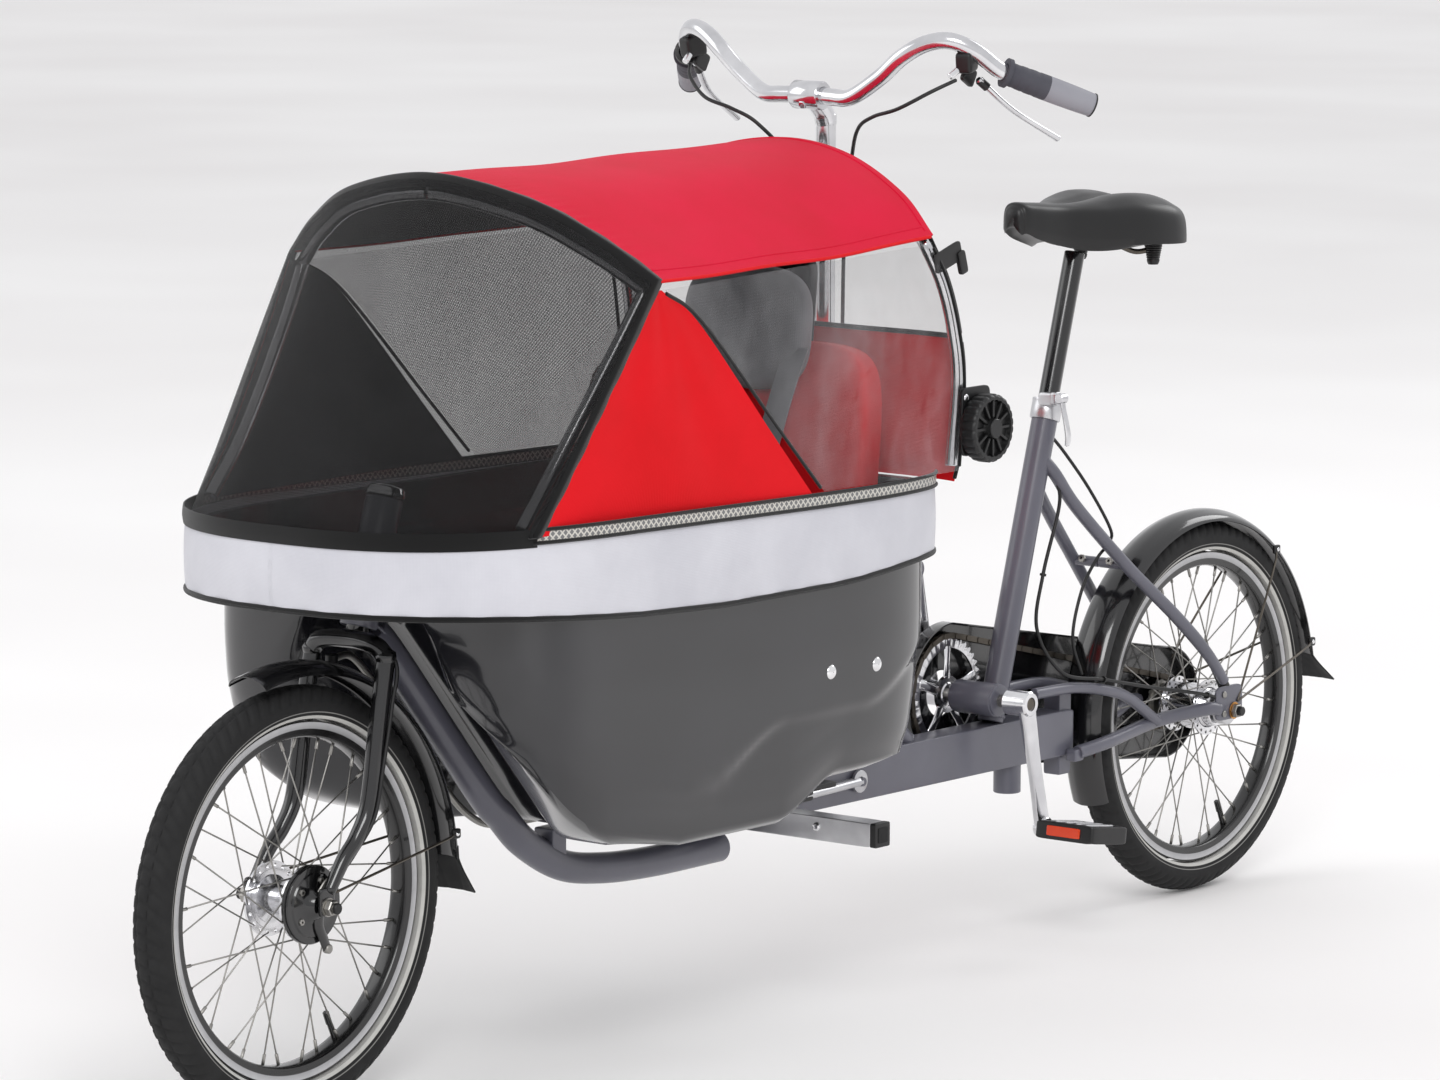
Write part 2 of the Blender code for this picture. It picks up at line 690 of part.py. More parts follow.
def make_drive():
    ring = toothed((CHAIN_X, *CRANK), RING_R - 3, 38, 5, 3, 9 + GAP)
    keep(ring, "chainring", "silver_metal", (0, *CRANK))
    sprocket = toothed((CHAIN_X, AXLE_Y, 250), SPROCKET_R - 2, 17, 4, 3, 10)
    sprocket = union(sprocket, rod((-51, AXLE_Y, 250), (-37, AXLE_Y, 250), 16, 16))
    sprocket = cut(sprocket, rod((-60, AXLE_Y, 250), (-30, AXLE_Y, 250), 5 + GAP, 12))
    keep(sprocket, "rear_sprocket", "silver_metal", (0, AXLE_Y, 250))
    chain = cut(plate(belt(RING_R + 5, SPROCKET_R + 5, 16), CHAIN_X - 4, CHAIN_X + 4),
                plate(belt(RING_R + 1, SPROCKET_R + 1, 16), CHAIN_X - 9, CHAIN_X + 9))
    keep(chain, "chain", "silver_metal")

    case = plate(belt(95, 76, 12), -63, -41)
    cavity = plate(belt(92, 73, 12), -60.5, -30)
    slot = box((-50, 900, 255), (60, 250, 64))
    window = rod((-80, *CRANK), (-40, *CRANK), 30, 20)
    keep(cut(case, cavity, slot, window), "chain_case", "black_paint")

    throw_y, throw_z = CRANK_THROW
    for name, side in (("left", 1), ("right", -1)):
        end = (CRANK[0] + side * throw_y, CRANK[1] + side * throw_z)
        x = 76 * side
        crank = union(
            box((x, (CRANK[0] + end[0]) / 2, (CRANK[1] + end[1]) / 2),
                (12, 24, 170), -math.atan2(throw_y, -throw_z) * -1),
            rod((x - 8, *CRANK), (x + 8, *CRANK), 17, 16),
            rod((x - 7, *end), (x + 7, *end), 14, 16),
            rod((x, *end), (x + 104 * side, *end), 5.5, 10),
        )
        if side < 0:
            crank = union(crank, rod((-70, *CRANK), (66, *CRANK), 8, 12))
        keep(crank, "crank_" + name, "silver_metal", (0, *CRANK))
        body = cut(
            box(((x + 62 * side), end[0] + 2, end[1] - 1), (92, 82, 26), math.radians(-8)),
            rod((x - 40 * side, *end), (x + 130 * side, *end), 6, 10),
        )
        keep(body, "pedal_" + name, "black_plastic", (x, *end))


# Handlebar and steering link

BAR_HALF = [(0, 61, 1120), (40, 58, 1118), (70, 55, 1120), (110, 58, 1145), (140, 60, 1170),
            (170, 68, 1188), (200, 80, 1193), (225, 100, 1180), (245, 126, 1156)]
GRIP_OUT = (316, 220, 1112)
LEVER_PIVOT = (220, 112, 1146)
LEVER_MID, LEVER_TIP = (238, 160, 1106), (252, 236, 1067)


def make_handlebar():
    half = smooth_path(BAR_HALF, 1)
    half.append(lerp(BAR_HALF[-1], GRIP_OUT, 0.96))
    whole = mirrored(reversed(half[1:])) + half
    parts = [tube(whole, 11, 2)]
    for side in (1, -1):
        parts.append(box((217 * side, 103, 1160), (24, 34, 38), math.radians(9)))
    bar = union(parts[0], *parts[1:])
    for side in (1, -1):
        bar = cut(bar, box((222 * side, 119, 1138), (20, 42, 34)))
    keep(bar, "handlebar", "silver_metal", (0, COLUMN_Y, 700))

    stem = union(
        rod((0, COLUMN_Y, 286.5), (0, COLUMN_Y, 1096), 12.5, 16),
        rod((0, COLUMN_Y, 702), (0, COLUMN_Y, 730), 19, 16),
        rod((0, COLUMN_Y, 1086), (0, 66, 1118), 14, 14),
        rod((-22, 61, 1120), (22, 61, 1120), 18, 16),
        box((-36, 120, COLUMN_ARM_Z), (66, 16, 7)),
        box((-12, 107, COLUMN_ARM_Z), (20, 40, 7)),
        box((-60, 126, COLUMN_ARM_Z), (18, 32, 7)),
    )
    stem = cut(stem, tube([(-40, 61, 1120), (0, 61, 1120), (40, 58, 1118)], 11 + GAP, 2))
    stem = cut(stem, tube([(-40, 58, 1118), (0, 61, 1120), (40, 61, 1120)], 11 + GAP, 2))
    keep(stem, "steering_column", "silver_metal", (0, COLUMN_Y, 700))

    for name, side in (("left", 1), ("right", -1)):
        start = lerp(BAR_HALF[-1], GRIP_OUT, 0.03)
        end = Vector(GRIP_OUT)
        flip = (lambda p: (side * p[0], p[1], p[2]))
        grip = union(rod(flip(start), flip(end), 16, 16), rod(flip(start), flip(lerp(start, end, 0.08)), 19, 16))
        grip = cut(grip, rod(flip(lerp(start, end, -0.2)), flip(lerp(start, end, 0.975)), 11 + GAP, 12))
        keep(grip, "grip_" + name, "grey_rubber", (0, COLUMN_Y, 700))
        blade = [flip(p) for p in smooth_path([LEVER_PIVOT, LEVER_MID, LEVER_TIP], 4)]
        keep(tube(blade, 5.5, 2), "brake_lever_" + name, "silver_metal", flip(LEVER_PIVOT))

        cable = [flip(p) for p in smooth_path(
            [(208, 84, 1146), (188, 60, 1132), (150, 42, 1110), (110, 44, 1098), (78, 56, 1080),
             (50, 80, 1036), (33, 90, 960), (27, 94, 800), (27, 94, 716)], 2)]
        keep(tube(cable, 2.5, 1), "cable_" + name, "black_plastic")


def make_link():
    x = ARM[0]
    rear_y, front_y = COLUMN_Y + ARM[1], head_axis(FORK_ARM_Z)[1] + ARM[1]
    pin_z = COLUMN_ARM_Z + 3.5 + GAP
    end = union(rod((x, rear_y, pin_z), (x, rear_y, pin_z + 14), 8, 14))
    end = cut(end, box((x, rear_y, pin_z + 12), (6.8, 40, 15)))
    keep(end, "link_end", "silver_metal", (x, rear_y, pin_z))
    path = [(x, front_y, FORK_ARM_Z + 12), (x, -723, 502), (x, -650, 425), (x, -570, 335),
            (x, -520, 290), (x, -470, 271), (x, -380, 269), (x, -60, 269), (x, 30, 284),
            (x, rear_y - 20, pin_z + 9)]
    link = union(
        tube(smooth_path(path, 2), 4.5, 1),
        box((x, rear_y - 8, pin_z + 10), (6, 34, 9)),
        rod((x, front_y, FORK_ARM_Z + 2.5), (x, front_y, FORK_ARM_Z + 18), 8, 12),
    )
    keep(link, "steering_link", "black_paint", (x, rear_y, pin_z + 10))


# Seat

def make_seat():
    direction = Vector((0, SEAT_SLOPE, 1)).normalized()
    top = Vector(SEAT_TOP)
    post = union(rod(top - direction * 150, top + direction * 190, POST_R, 16),
                 rod(top + direction * 176, top + direction * 200, 17, 16))
    keep(post, "seatpost", "black_paint", SEAT_TOP)
    collar = union(rod(top - direction * 2, top + direction * 16, 20, 16),
                   box((20, 556, 700), (18, 20, 14)))
    collar = cut(collar, rod(top - direction * 40, top + direction * 40, POST_R + GAP, 16),
                 rod(top - direction * 40, top + direction * 0.4, 20.8, 16),
                 rod((10, 550, 700), (40, 550, 700), 3, 10))
    keep(collar, "seat_clamp", "silver_metal")
    lever = union(rod((36, 542, 700), (36, 558, 700), 6, 12),
                  tube([(36, 550, 700), (38, 553, 670), (35, 559, 640)], 4, 2))
    keep(lever, "clamp_lever", "silver_metal", (36, 550, 700))

    bm = bmesh.new()
    sections = [(487, 938, 16, 12), (520, 940, 26, 24), (570, 940, 38, 34), (620, 944, 66, 44),
                (670, 950, 92, 50), (715, 948, 100, 50), (750, 938, 92, 40), (764, 930, 70, 24)]
    loops = []
    for y, z, half, drop in sections:
        loop = []
        for k in range(12):
            angle = 2 * math.pi * k / 12
            lift = 28 * math.sin(angle) if math.sin(angle) > 0 else drop * math.sin(angle)
            loop.append(bm.verts.new(at(half * math.cos(angle), y, z + lift)))
        loops.append(loop)
    for a, b in zip(loops, loops[1:]):
        for k in range(12):
            n = (k + 1) % 12
            bm.faces.new((a[k], a[n], b[n], b[k]))
    for loop, place in ((loops[0], (0, 482, 938)), (loops[-1], (0, 770, 928))):
        tip = bm.verts.new(at(*place))
        for k in range(12):
            bm.faces.new((loop[k], loop[(k + 1) % 12], tip))
    bmesh.ops.recalc_face_normals(bm, faces=bm.faces)
    saddle = union(
        mesh_object(bm),
        rod((58, 722, 862), (58, 722, 915), 13, 12),
        rod((-58, 722, 862), (-58, 722, 915), 13, 12),
        rod((0, 632, 893), (0, 632, 915), 20, 12),
    )
    keep(saddle, "saddle", "saddle_skin", SEAT_TOP)


def make_stand():
    parts = [box((0, *STAND_BAR), (480, 30, 30))]
    reach_y = (STAND_BAR[0] + STAND_PIVOT[0]) / 2
    reach_z = (STAND_BAR[1] + STAND_PIVOT[1]) / 2
    tilt = math.atan2(STAND_PIVOT[1] - STAND_BAR[1], STAND_PIVOT[0] - STAND_BAR[0])
    for side in (1, -1):
        parts.append(box((25.5 * side, reach_y, reach_z), (5, 238, 24), tilt))
        parts.append(rod((22.4 * side, *STAND_PIVOT), (28.6 * side, *STAND_PIVOT), 14.5, 14))
    stand = union(parts[0], *parts[1:])
    stand = cut(stand, rod((-40, *STAND_PIVOT), (40, *STAND_PIVOT), 6 + GAP, 12))
    keep(stand, "parking_stand", "silver_metal", (0, *STAND_PIVOT))


make_frame()
make_stays()
make_column_housing()
make_tub()
make_skirt()
make_canopy()
make_bench()
make_fork()
make_mudguards()
make_wheel("front", -AXLE_Y)
make_wheel("rear", AXLE_Y)
make_hubs()
make_drive()
make_handlebar()
make_link()
make_seat()
make_stand()
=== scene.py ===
import math
import bmesh
import bpy
import numpy as np
from mathutils import Matrix, Vector


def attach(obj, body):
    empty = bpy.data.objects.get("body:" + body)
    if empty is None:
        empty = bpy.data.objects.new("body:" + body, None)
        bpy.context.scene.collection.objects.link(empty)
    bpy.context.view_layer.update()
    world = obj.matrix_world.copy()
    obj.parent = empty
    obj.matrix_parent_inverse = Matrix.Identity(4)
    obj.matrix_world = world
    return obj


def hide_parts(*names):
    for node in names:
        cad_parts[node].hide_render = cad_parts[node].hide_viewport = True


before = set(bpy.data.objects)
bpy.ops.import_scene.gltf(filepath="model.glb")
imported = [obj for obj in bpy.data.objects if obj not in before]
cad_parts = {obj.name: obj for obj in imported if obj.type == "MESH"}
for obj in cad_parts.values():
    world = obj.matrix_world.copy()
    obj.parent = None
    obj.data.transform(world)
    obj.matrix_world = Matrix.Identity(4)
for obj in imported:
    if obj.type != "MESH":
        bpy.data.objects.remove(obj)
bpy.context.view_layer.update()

print("frame loaded:", len(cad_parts), "nodes")

# Places are in millimetres on the bicycle, X to the rider's left, -Y forward, and toWorld turns them to metres.
lengthShift = -26.25
axleY = 907.5
headTilt = math.radians(18)
crankCentre = (423.0, 320.0)


def toWorld(points):
    # Millimetres along the bicycle to metres in the shared frame.
    return (np.asarray(points, float) + [0.0, lengthShift, 0.0]) * 0.001


# ---- surfaces

def surface(grid, closeU=False, closeV=False, caps=False, flip=False):
    # grid is an array (u, v, xyz). Quads join neighbours; a closed direction wraps round; caps close both u ends.
    nu, nv = grid.shape[:2]
    index = np.arange(nu * nv).reshape(nu, nv)
    a = index if closeU else index[:-1]
    b = np.roll(index, -1, 0) if closeU else index[1:]
    if not closeV:
        quads = np.stack([a[:, :-1], b[:, :-1], b[:, 1:], a[:, 1:]], -1).reshape(-1, 4)
    else:
        quads = np.stack([a, b, np.roll(b, -1, 1), np.roll(a, -1, 1)], -1).reshape(-1, 4)
    stepU = np.linalg.norm(np.diff(grid, axis=0), axis=2).mean(1)
    stepV = np.linalg.norm(np.diff(grid, axis=1), axis=2).mean(0)
    u = np.concatenate([[0], np.cumsum(stepU)]) * 0.001
    v = np.concatenate([[0], np.cumsum(stepV)]) * 0.001
    uv = np.stack(np.meshgrid(u, v, indexing="ij"), -1).reshape(-1, 2)
    rings = [index[0][::-1], index[-1]] if caps else []
    if flip:
        quads = quads[:, ::-1]
        rings = [ring[::-1] for ring in rings]
    return {"points": grid.reshape(-1, 3), "quads": quads, "rings": rings, "uv": uv}


def addPiece(name, parts, material, body, replaces=(), sharp=40):
    # Parts are surfaces, or (surface, material number) pairs when material is a list.
    materials = material if isinstance(material, list) else [material]
    pairs = [part if isinstance(part, tuple) else (part, 0) for part in parts]
    starts = np.cumsum([0] + [len(part["points"]) for part, _ in pairs])
    points = toWorld(np.concatenate([part["points"] for part, _ in pairs]))
    faces, numbers = [], []
    for (part, number), start in zip(pairs, starts):
        faces += (part["quads"] + start).tolist()
        faces += [(np.asarray(ring) + start).tolist() for ring in part["rings"]]
        numbers += [number] * (len(part["quads"]) + len(part["rings"]))
    mesh = bpy.data.meshes.new(name)
    mesh.from_pydata(points.tolist(), [], faces)
    for item in materials:
        mesh.materials.append(item)
    mesh.polygons.foreach_set("material_index", numbers)
    layer = mesh.uv_layers.new(name="UVMap")
    loops = np.empty(len(mesh.loops), np.int32)
    mesh.loops.foreach_get("vertex_index", loops)
    flat = np.concatenate([part["uv"] for part, _ in pairs])[loops]
    layer.data.foreach_set("uv", flat.astype(np.float32).ravel())
    work = bmesh.new()
    work.from_mesh(mesh)
    bmesh.ops.recalc_face_normals(work, faces=work.faces)
    work.to_mesh(mesh)
    work.free()
    mesh.shade_smooth()
    mesh.set_sharp_from_angle(angle=math.radians(sharp))
    piece = bpy.data.objects.new(name, mesh)
    bpy.context.scene.collection.objects.link(piece)
    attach(piece, body)
    if replaces:
        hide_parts(*replaces)
    return piece


def spline(points, count=60):
    # Catmull-Rom curve through the points, read at even shares.
    knots = np.asarray(points, float)
    knots = np.vstack([2 * knots[0] - knots[1], knots, 2 * knots[-1] - knots[-2]])
    t = np.linspace(0, len(knots) - 3, count)
    i = np.minimum(t.astype(int), len(knots) - 4)
    f = (t - i)[:, None]
    a, b, c, d = (knots[i + k] for k in range(4))
    return 0.5 * (2 * b + (c - a) * f + (2 * a - 5 * b + 4 * c - d) * f**2 + (3 * b - a - 3 * c + d) * f**3)


def even(path, count):
    # The same path with its points spaced evenly by length.
    run = np.concatenate([[0], np.cumsum(np.linalg.norm(np.diff(path, axis=0), axis=1))])
    want = np.linspace(0, run[-1], count)
    return np.stack([np.interp(want, run, path[:, k]) for k in range(3)], 1)


def frames(path, reference):
    # Tangent, side and top direction at each point; the side stays square to a reference direction.
    tangent = np.gradient(path, axis=0)
    tangent /= np.linalg.norm(tangent, axis=1)[:, None]
    side = np.cross(tangent, reference)
    side /= np.linalg.norm(side, axis=1)[:, None]
    return tangent, side, np.cross(side, tangent)


def tube(path, radius, sides=28, reference=(1, 0, 0), squash=1.0, ends=1.0):
    # A round section carried along a path; radius may vary, and ends rounds both tips by that many millimetres.
    path = np.asarray(path, float)
    radius = np.broadcast_to(np.asarray(radius, float), (len(path),)).copy()
    tangent, side, top = frames(path, np.asarray(reference, float))
    if ends:
        path = np.vstack([path[:1], path[:1] + tangent[0] * ends, path[1:-1],
                          path[-1:] - tangent[-1] * ends, path[-1:]])
        radius = np.concatenate([[radius[0] - ends], radius[:1], radius[1:-1], radius[-1:], [radius[-1] - ends]])
        side = np.vstack([side[:1], side, side[-1:]])
        top = np.vstack([top[:1], top, top[-1:]])
    angle = np.linspace(0, 2 * np.pi, sides, endpoint=False)
    ring = (side[:, None] * np.cos(angle)[None, :, None] + top[:, None] * np.sin(angle)[None, :, None] * squash)
    return surface(path[:, None] + ring * radius[:, None, None], closeV=True, caps=True, flip=True)


def bar(a, b, radius, sides=28, ends=1.0, endRadius=None, stops=2):
    # A straight round bar.
    path = np.linspace(a, b, stops + 1)
    reach = np.linspace(radius, radius if endRadius is None else endRadius, stops + 1)
    heading = np.abs(np.subtract(b, a))
    reference = np.eye(3)[int(np.argmin(heading))]
    return tube(path, reach, sides, reference, ends=ends)


def manyBars(starts, ends, radius, sides=6):
    # A list of straight thin bars as one set of surfaces, each closed at both ends.
    return [bar(a, b, radius, sides, ends=radius * 0.3, stops=1) for a, b in zip(starts, ends)]


def turned(profile, centre, axis=(1, 0, 0), steps=96):
    # A closed (along the axis, radius) outline turned about an axis; it runs counter-clockwise.
    axis = np.asarray(axis, float) / np.linalg.norm(axis)
    helper = np.array([0, 0, 1.0]) if abs(axis[2]) < 0.8 else np.array([0, 1.0, 0])
    first = np.cross(axis, helper)
    first /= np.linalg.norm(first)
    second = np.cross(axis, first)
    outline = np.asarray(profile, float)
    angle = np.linspace(0, 2 * np.pi, steps, endpoint=False)
    around = first * np.cos(angle)[:, None] + second * np.sin(angle)[:, None]
    grid = (np.asarray(centre, float) + axis * outline[None, :, :1] + around[:, None] * outline[None, :, 1:])
    area = np.sum(outline[:, 0] * np.roll(outline[:, 1], -1) - np.roll(outline[:, 0], -1) * outline[:, 1])
    return surface(grid, closeU=True, closeV=True, flip=area < 0)


def collar(a, b, inner, outer, centre, axis=(1, 0, 0), steps=96):
    # A plain ring between two places along its axis.
    return turned([(a, inner), (a, outer), (b, outer), (b, inner)], centre, axis, steps)


def roundBlock(centre, size, turn=(0, 0, 0), sharpness=0.22, across=20, around=36):
    # A box with soft edges: a sphere whose sines and cosines are raised to a small power.
    power = lambda w: np.sign(w) * np.abs(w) ** sharpness
    up = np.linspace(-np.pi / 2, np.pi / 2, across)
    up = np.sign(up) * (np.pi / 2) * (np.abs(up) / (np.pi / 2)) ** 0.8
    roundTurn = np.linspace(0, 2 * np.pi, around, endpoint=False) + np.pi / around
    x = power(np.cos(up))[:, None] * power(np.cos(roundTurn))
    y = power(np.cos(up))[:, None] * power(np.sin(roundTurn))
    z = power(np.sin(up))[:, None] * np.ones(around)
    spin = np.array(Matrix.Rotation(turn[2], 3, "Z") @ Matrix.Rotation(turn[1], 3, "Y")
                    @ Matrix.Rotation(turn[0], 3, "X"))
    grid = (np.stack([x, y, z], -1) * np.asarray(size, float) / 2) @ spin.T + np.asarray(centre, float)
    return surface(grid, closeV=True, caps=True, flip=True)


def skin(grid, thickness, flip=False, closeU=False):
    # A sheet with thickness: the surface and its copy along the normals, closed round the edges.
    du = np.gradient(grid, axis=0)
    dv = np.gradient(grid, axis=1)
    if closeU:
        du = np.roll(grid, -1, 0) - np.roll(grid, 1, 0)
    normal = np.cross(du, dv)
    normal /= np.maximum(np.linalg.norm(normal, axis=2), 1e-9)[..., None]
    reach = np.asarray(thickness, float)
    other = grid + normal * (reach[..., None] if reach.ndim else reach)
    loop = np.concatenate([grid, other[:, ::-1]], 1)
    return surface(loop, closeU=closeU, closeV=True, caps=not closeU, flip=not flip)


def ripple(grid, size, height, seed=0.0):
    # Slow waves: three sines in different directions, the same on every run.
    x, y, z = (grid[..., k] / size for k in range(3))
    wave = np.sin(2.1 * x + 1.3 * y + seed) + np.sin(1.7 * y - 2.3 * z + 2 * seed) + np.sin(2.9 * z + 1.1 * x - seed)
    return wave * height / 3


# ---- materials

def linear(hexColour):
    # The sRGB hex colour as linear values with full alpha.
    values = np.array([int(hexColour[i:i + 2], 16) for i in (1, 3, 5)]) / 255
    values = np.where(values <= 0.04045, values / 12.92, ((values + 0.055) / 1.055) ** 2.4)
    return (*map(float, values), 1.0)


def addNode(tree, kind, settings=None, links=None, stops=(), to=None):
    # Settings are sockets by name or number, or plain properties; links are socket to (node, output).
    # Stops fill a colour ramp, and to is the (node, socket) that the first output feeds.
    node = tree.nodes.new(kind)
    for key, value in (settings or {}).items():
        if isinstance(key, int) or key in node.inputs:
            node.inputs[key].default_value = value
        else:
            setattr(node, key, value)
    for key, (source, output) in (links or {}).items():
        tree.links.new(source.outputs[output], node.inputs[key])
    if stops:
        elements = node.color_ramp.elements
        while len(elements) < len(stops):
            elements.new(0.5)
        for element, (place, colour) in zip(elements, stops):
            element.position, element.color = place, linear(colour)
    if to:
        tree.links.new(node.outputs[0], to[0].inputs[to[1]])
    return node


def newMaterial(name, roughness, metallic=0.0, **sockets):
    # A Principled material with its plain values set on the shader itself.
    made = bpy.data.materials.new(name)
    made.use_nodes = True
    shader = made.node_tree.nodes["Principled BSDF"]
    for key, value in {"Roughness": roughness, "Metallic": metallic, **sockets}.items():
        shader.inputs[key].default_value = value
    return made, made.node_tree, shader


def coatedSurface(name, low, high, roughness, grain=900, relief=0.00002, coat=0.0, coatRoughness=0.1):
    # Sprayed or moulded surfaces: a faint mottle in the colour, smears in the gloss and a fine orange peel.
    made, tree, shader = newMaterial(name, roughness, **{"Coat Weight": coat, "Coat Roughness": coatRoughness})
    place = {"Vector": (addNode(tree, "ShaderNodeTexCoord"), "Object")}
    mottle = addNode(tree, "ShaderNodeTexNoise", {"Scale": 9, "Detail": 4}, place)
    addNode(tree, "ShaderNodeValToRGB", {}, {"Fac": (mottle, 0)}, [(0.3, low), (0.7, high)], (shader, "Base Color"))
    smear = addNode(tree, "ShaderNodeTexNoise", {"Scale": 26, "Detail": 5, "Roughness": 0.6}, place)
    addNode(tree, "ShaderNodeMapRange", {"To Min": roughness * 0.75, "To Max": roughness * 1.35},
            {"Value": (smear, 0)}, to=(shader, "Roughness"))
    peel = addNode(tree, "ShaderNodeTexNoise", {"Scale": grain, "Detail": 2}, place)
    addNode(tree, "ShaderNodeBump", {"Strength": 0.5, "Distance": relief}, {"Height": (peel, 0)},
            to=(shader, "Normal"))
    return made


def bareMetal(name, low, high, roughness, stretch=(1, 1, 1), grain=400, relief=0.00001):
    # Polished or brushed metal: the grain is a noise stretched along the brushing.
    made, tree, shader = newMaterial(name, roughness, 1.0)
    place = {"Vector": (addNode(tree, "ShaderNodeTexCoord"), "Object")}
    brushing = addNode(tree, "ShaderNodeMapping", {"Scale": stretch}, place)
    scratch = addNode(tree, "ShaderNodeTexNoise", {"Scale": grain, "Detail": 4, "Roughness": 0.7},
                      {"Vector": (brushing, 0)})
    cloud = addNode(tree, "ShaderNodeTexNoise", {"Scale": 22, "Detail": 3}, place)
    addNode(tree, "ShaderNodeValToRGB", {}, {"Fac": (cloud, 0)}, [(0.3, low), (0.7, high)], (shader, "Base Color"))
    addNode(tree, "ShaderNodeMapRange", {"To Min": roughness * 0.6, "To Max": roughness * 1.6},
            {"Value": (scratch, 0)}, to=(shader, "Roughness"))
    addNode(tree, "ShaderNodeBump", {"Strength": 0.3, "Distance": relief}, {"Height": (scratch, 0)},
            to=(shader, "Normal"))
    return made


def waveRate(millimetres):
    # A wave texture repeats every 2*pi/20 metres at scale 1, so this scale gives one wave per that length.
    return 2 * math.pi / 20 / (millimetres * 0.001)


def wovenCloth(name, low, high, threadMm=1.4, roughness=0.75, sheen=0.25, alpha=None, relief=0.00025):
    # Plain weave: two sets of waves across each other in the piece's own UV metres, over a slow mottle.
    made, tree, shader = newMaterial(name, roughness, **{"Sheen Weight": sheen, "Sheen Roughness": 0.5,
                                                         "Specular IOR Level": 0.22})
    place = addNode(tree, "ShaderNodeTexCoord")
    warp, weft = (addNode(tree, "ShaderNodeTexWave", {"bands_direction": way, "Scale": waveRate(threadMm)},
                          {"Vector": (place, "UV")}) for way in "XY")
    weave = addNode(tree, "ShaderNodeMath", {"operation": "MULTIPLY"}, {0: (warp, "Fac"), 1: (weft, "Fac")})
    tone = addNode(tree, "ShaderNodeTexNoise", {"Scale": 6, "Detail": 5, "Roughness": 0.6},
                   {"Vector": (place, "Object")})
    faint = addNode(tree, "ShaderNodeMath", {"operation": "MULTIPLY", 1: 0.18}, {0: (weave, 0)})
    blend = addNode(tree, "ShaderNodeMath", {"operation": "ADD"}, {0: (tone, 0), 1: (faint, 0)})
    addNode(tree, "ShaderNodeValToRGB", {}, {"Fac": (blend, 0)}, [(0.3, low), (0.7, high)], (shader, "Base Color"))
    addNode(tree, "ShaderNodeBump", {"Strength": 0.6, "Distance": relief}, {"Height": (weave, 0)},
            to=(shader, "Normal"))
    if alpha:
        addNode(tree, "ShaderNodeMapRange", {"To Min": alpha[1], "To Max": alpha[0]}, {"Value": (weave, 0)},
                to=(shader, "Alpha"))
    return made


def stripedByRadius(name, y, stops, roughness, grain=500, relief=0.00008, coat=0.0):
    # Colour by distance from the axle, from 180 to 260 mm; stops are (radius in millimetres, colour).
    made, tree, shader = newMaterial(name, roughness, **{"Coat Weight": coat})
    place = {"Vector": (addNode(tree, "ShaderNodeTexCoord"), "Object")}
    hub = addNode(tree, "ShaderNodeMapping", {"Location": (0, -(y + lengthShift) * 0.001, -0.25),
                                              "Scale": (0, 1, 1)}, place)
    reach = addNode(tree, "ShaderNodeVectorMath", {"operation": "LENGTH"}, {0: (hub, 0)})
    share = addNode(tree, "ShaderNodeMapRange", {"From Min": 0.18, "From Max": 0.26}, {"Value": (reach, "Value")})
    bands = addNode(tree, "ShaderNodeValToRGB", {}, {"Fac": (share, 0)},
                    [((r * 0.001 - 0.18) / 0.08, colour) for r, colour in stops])
    dust = addNode(tree, "ShaderNodeTexNoise", {"Scale": 40, "Detail": 5, "Roughness": 0.6}, place)
    soiled = addNode(tree, "ShaderNodeMix", {"data_type": "RGBA", "blend_type": "MULTIPLY", 0: 0.35},
                     {6: (bands, 0), 7: (dust, 0)})
    tree.links.new(soiled.outputs[2], shader.inputs["Base Color"])
    fine = addNode(tree, "ShaderNodeTexNoise", {"Scale": grain, "Detail": 3}, place)
    addNode(tree, "ShaderNodeBump", {"Strength": 0.5, "Distance": relief}, {"Height": (fine, 0)},
            to=(shader, "Normal"))
    addNode(tree, "ShaderNodeMapRange", {"To Min": roughness * 0.8, "To Max": min(1, roughness * 1.2)},
            {"Value": (dust, 0)}, to=(shader, "Roughness"))
    return made


# Grey-violet powder coat: satin, with a soft clear layer.
framePaint = coatedSurface("slatePowderCoat", "#54545E", "#5F5F6A", 0.34, coat=0.3, coatRoughness=0.15)
# Stoved enamel and polished ABS: near-black and wet-looking.
blackPaint = coatedSurface("glossBlackEnamel", "#0B0B0C", "#121214", 0.16, coat=0.6, coatRoughness=0.05)
tubPlastic = coatedSurface("glossAbsShell", "#18181B", "#1F1F23", 0.12, grain=300, relief=0.00003, coat=0.5,
                           coatRoughness=0.04)
# Moulded nylon: dull, with a fine spark grain.
blackPlastic = coatedSurface("mouldedNylon", "#0A0A0B", "#111112", 0.42, grain=1500, relief=0.00004)
# Metals, from mirror chrome to oiled steel.
polished = bareMetal("polishedAluminium", "#C9C9CC", "#E4E4E6", 0.14)
brushed = bareMetal("brushedAluminium", "#B9B9BC", "#D4D4D6", 0.3, stretch=(0.05, 1, 1), grain=900)
chrome = bareMetal("chromePlate", "#D8D8DA", "#EDEDEE", 0.06)
steel = bareMetal("zincSteel", "#8E8C88", "#AAA8A4", 0.35)
darkSteel = bareMetal("oiledSteel", "#55504A", "#6E6860", 0.4)
copperWasher = bareMetal("yellowZincWasher", "#B5824A", "#CC9A5C", 0.3)
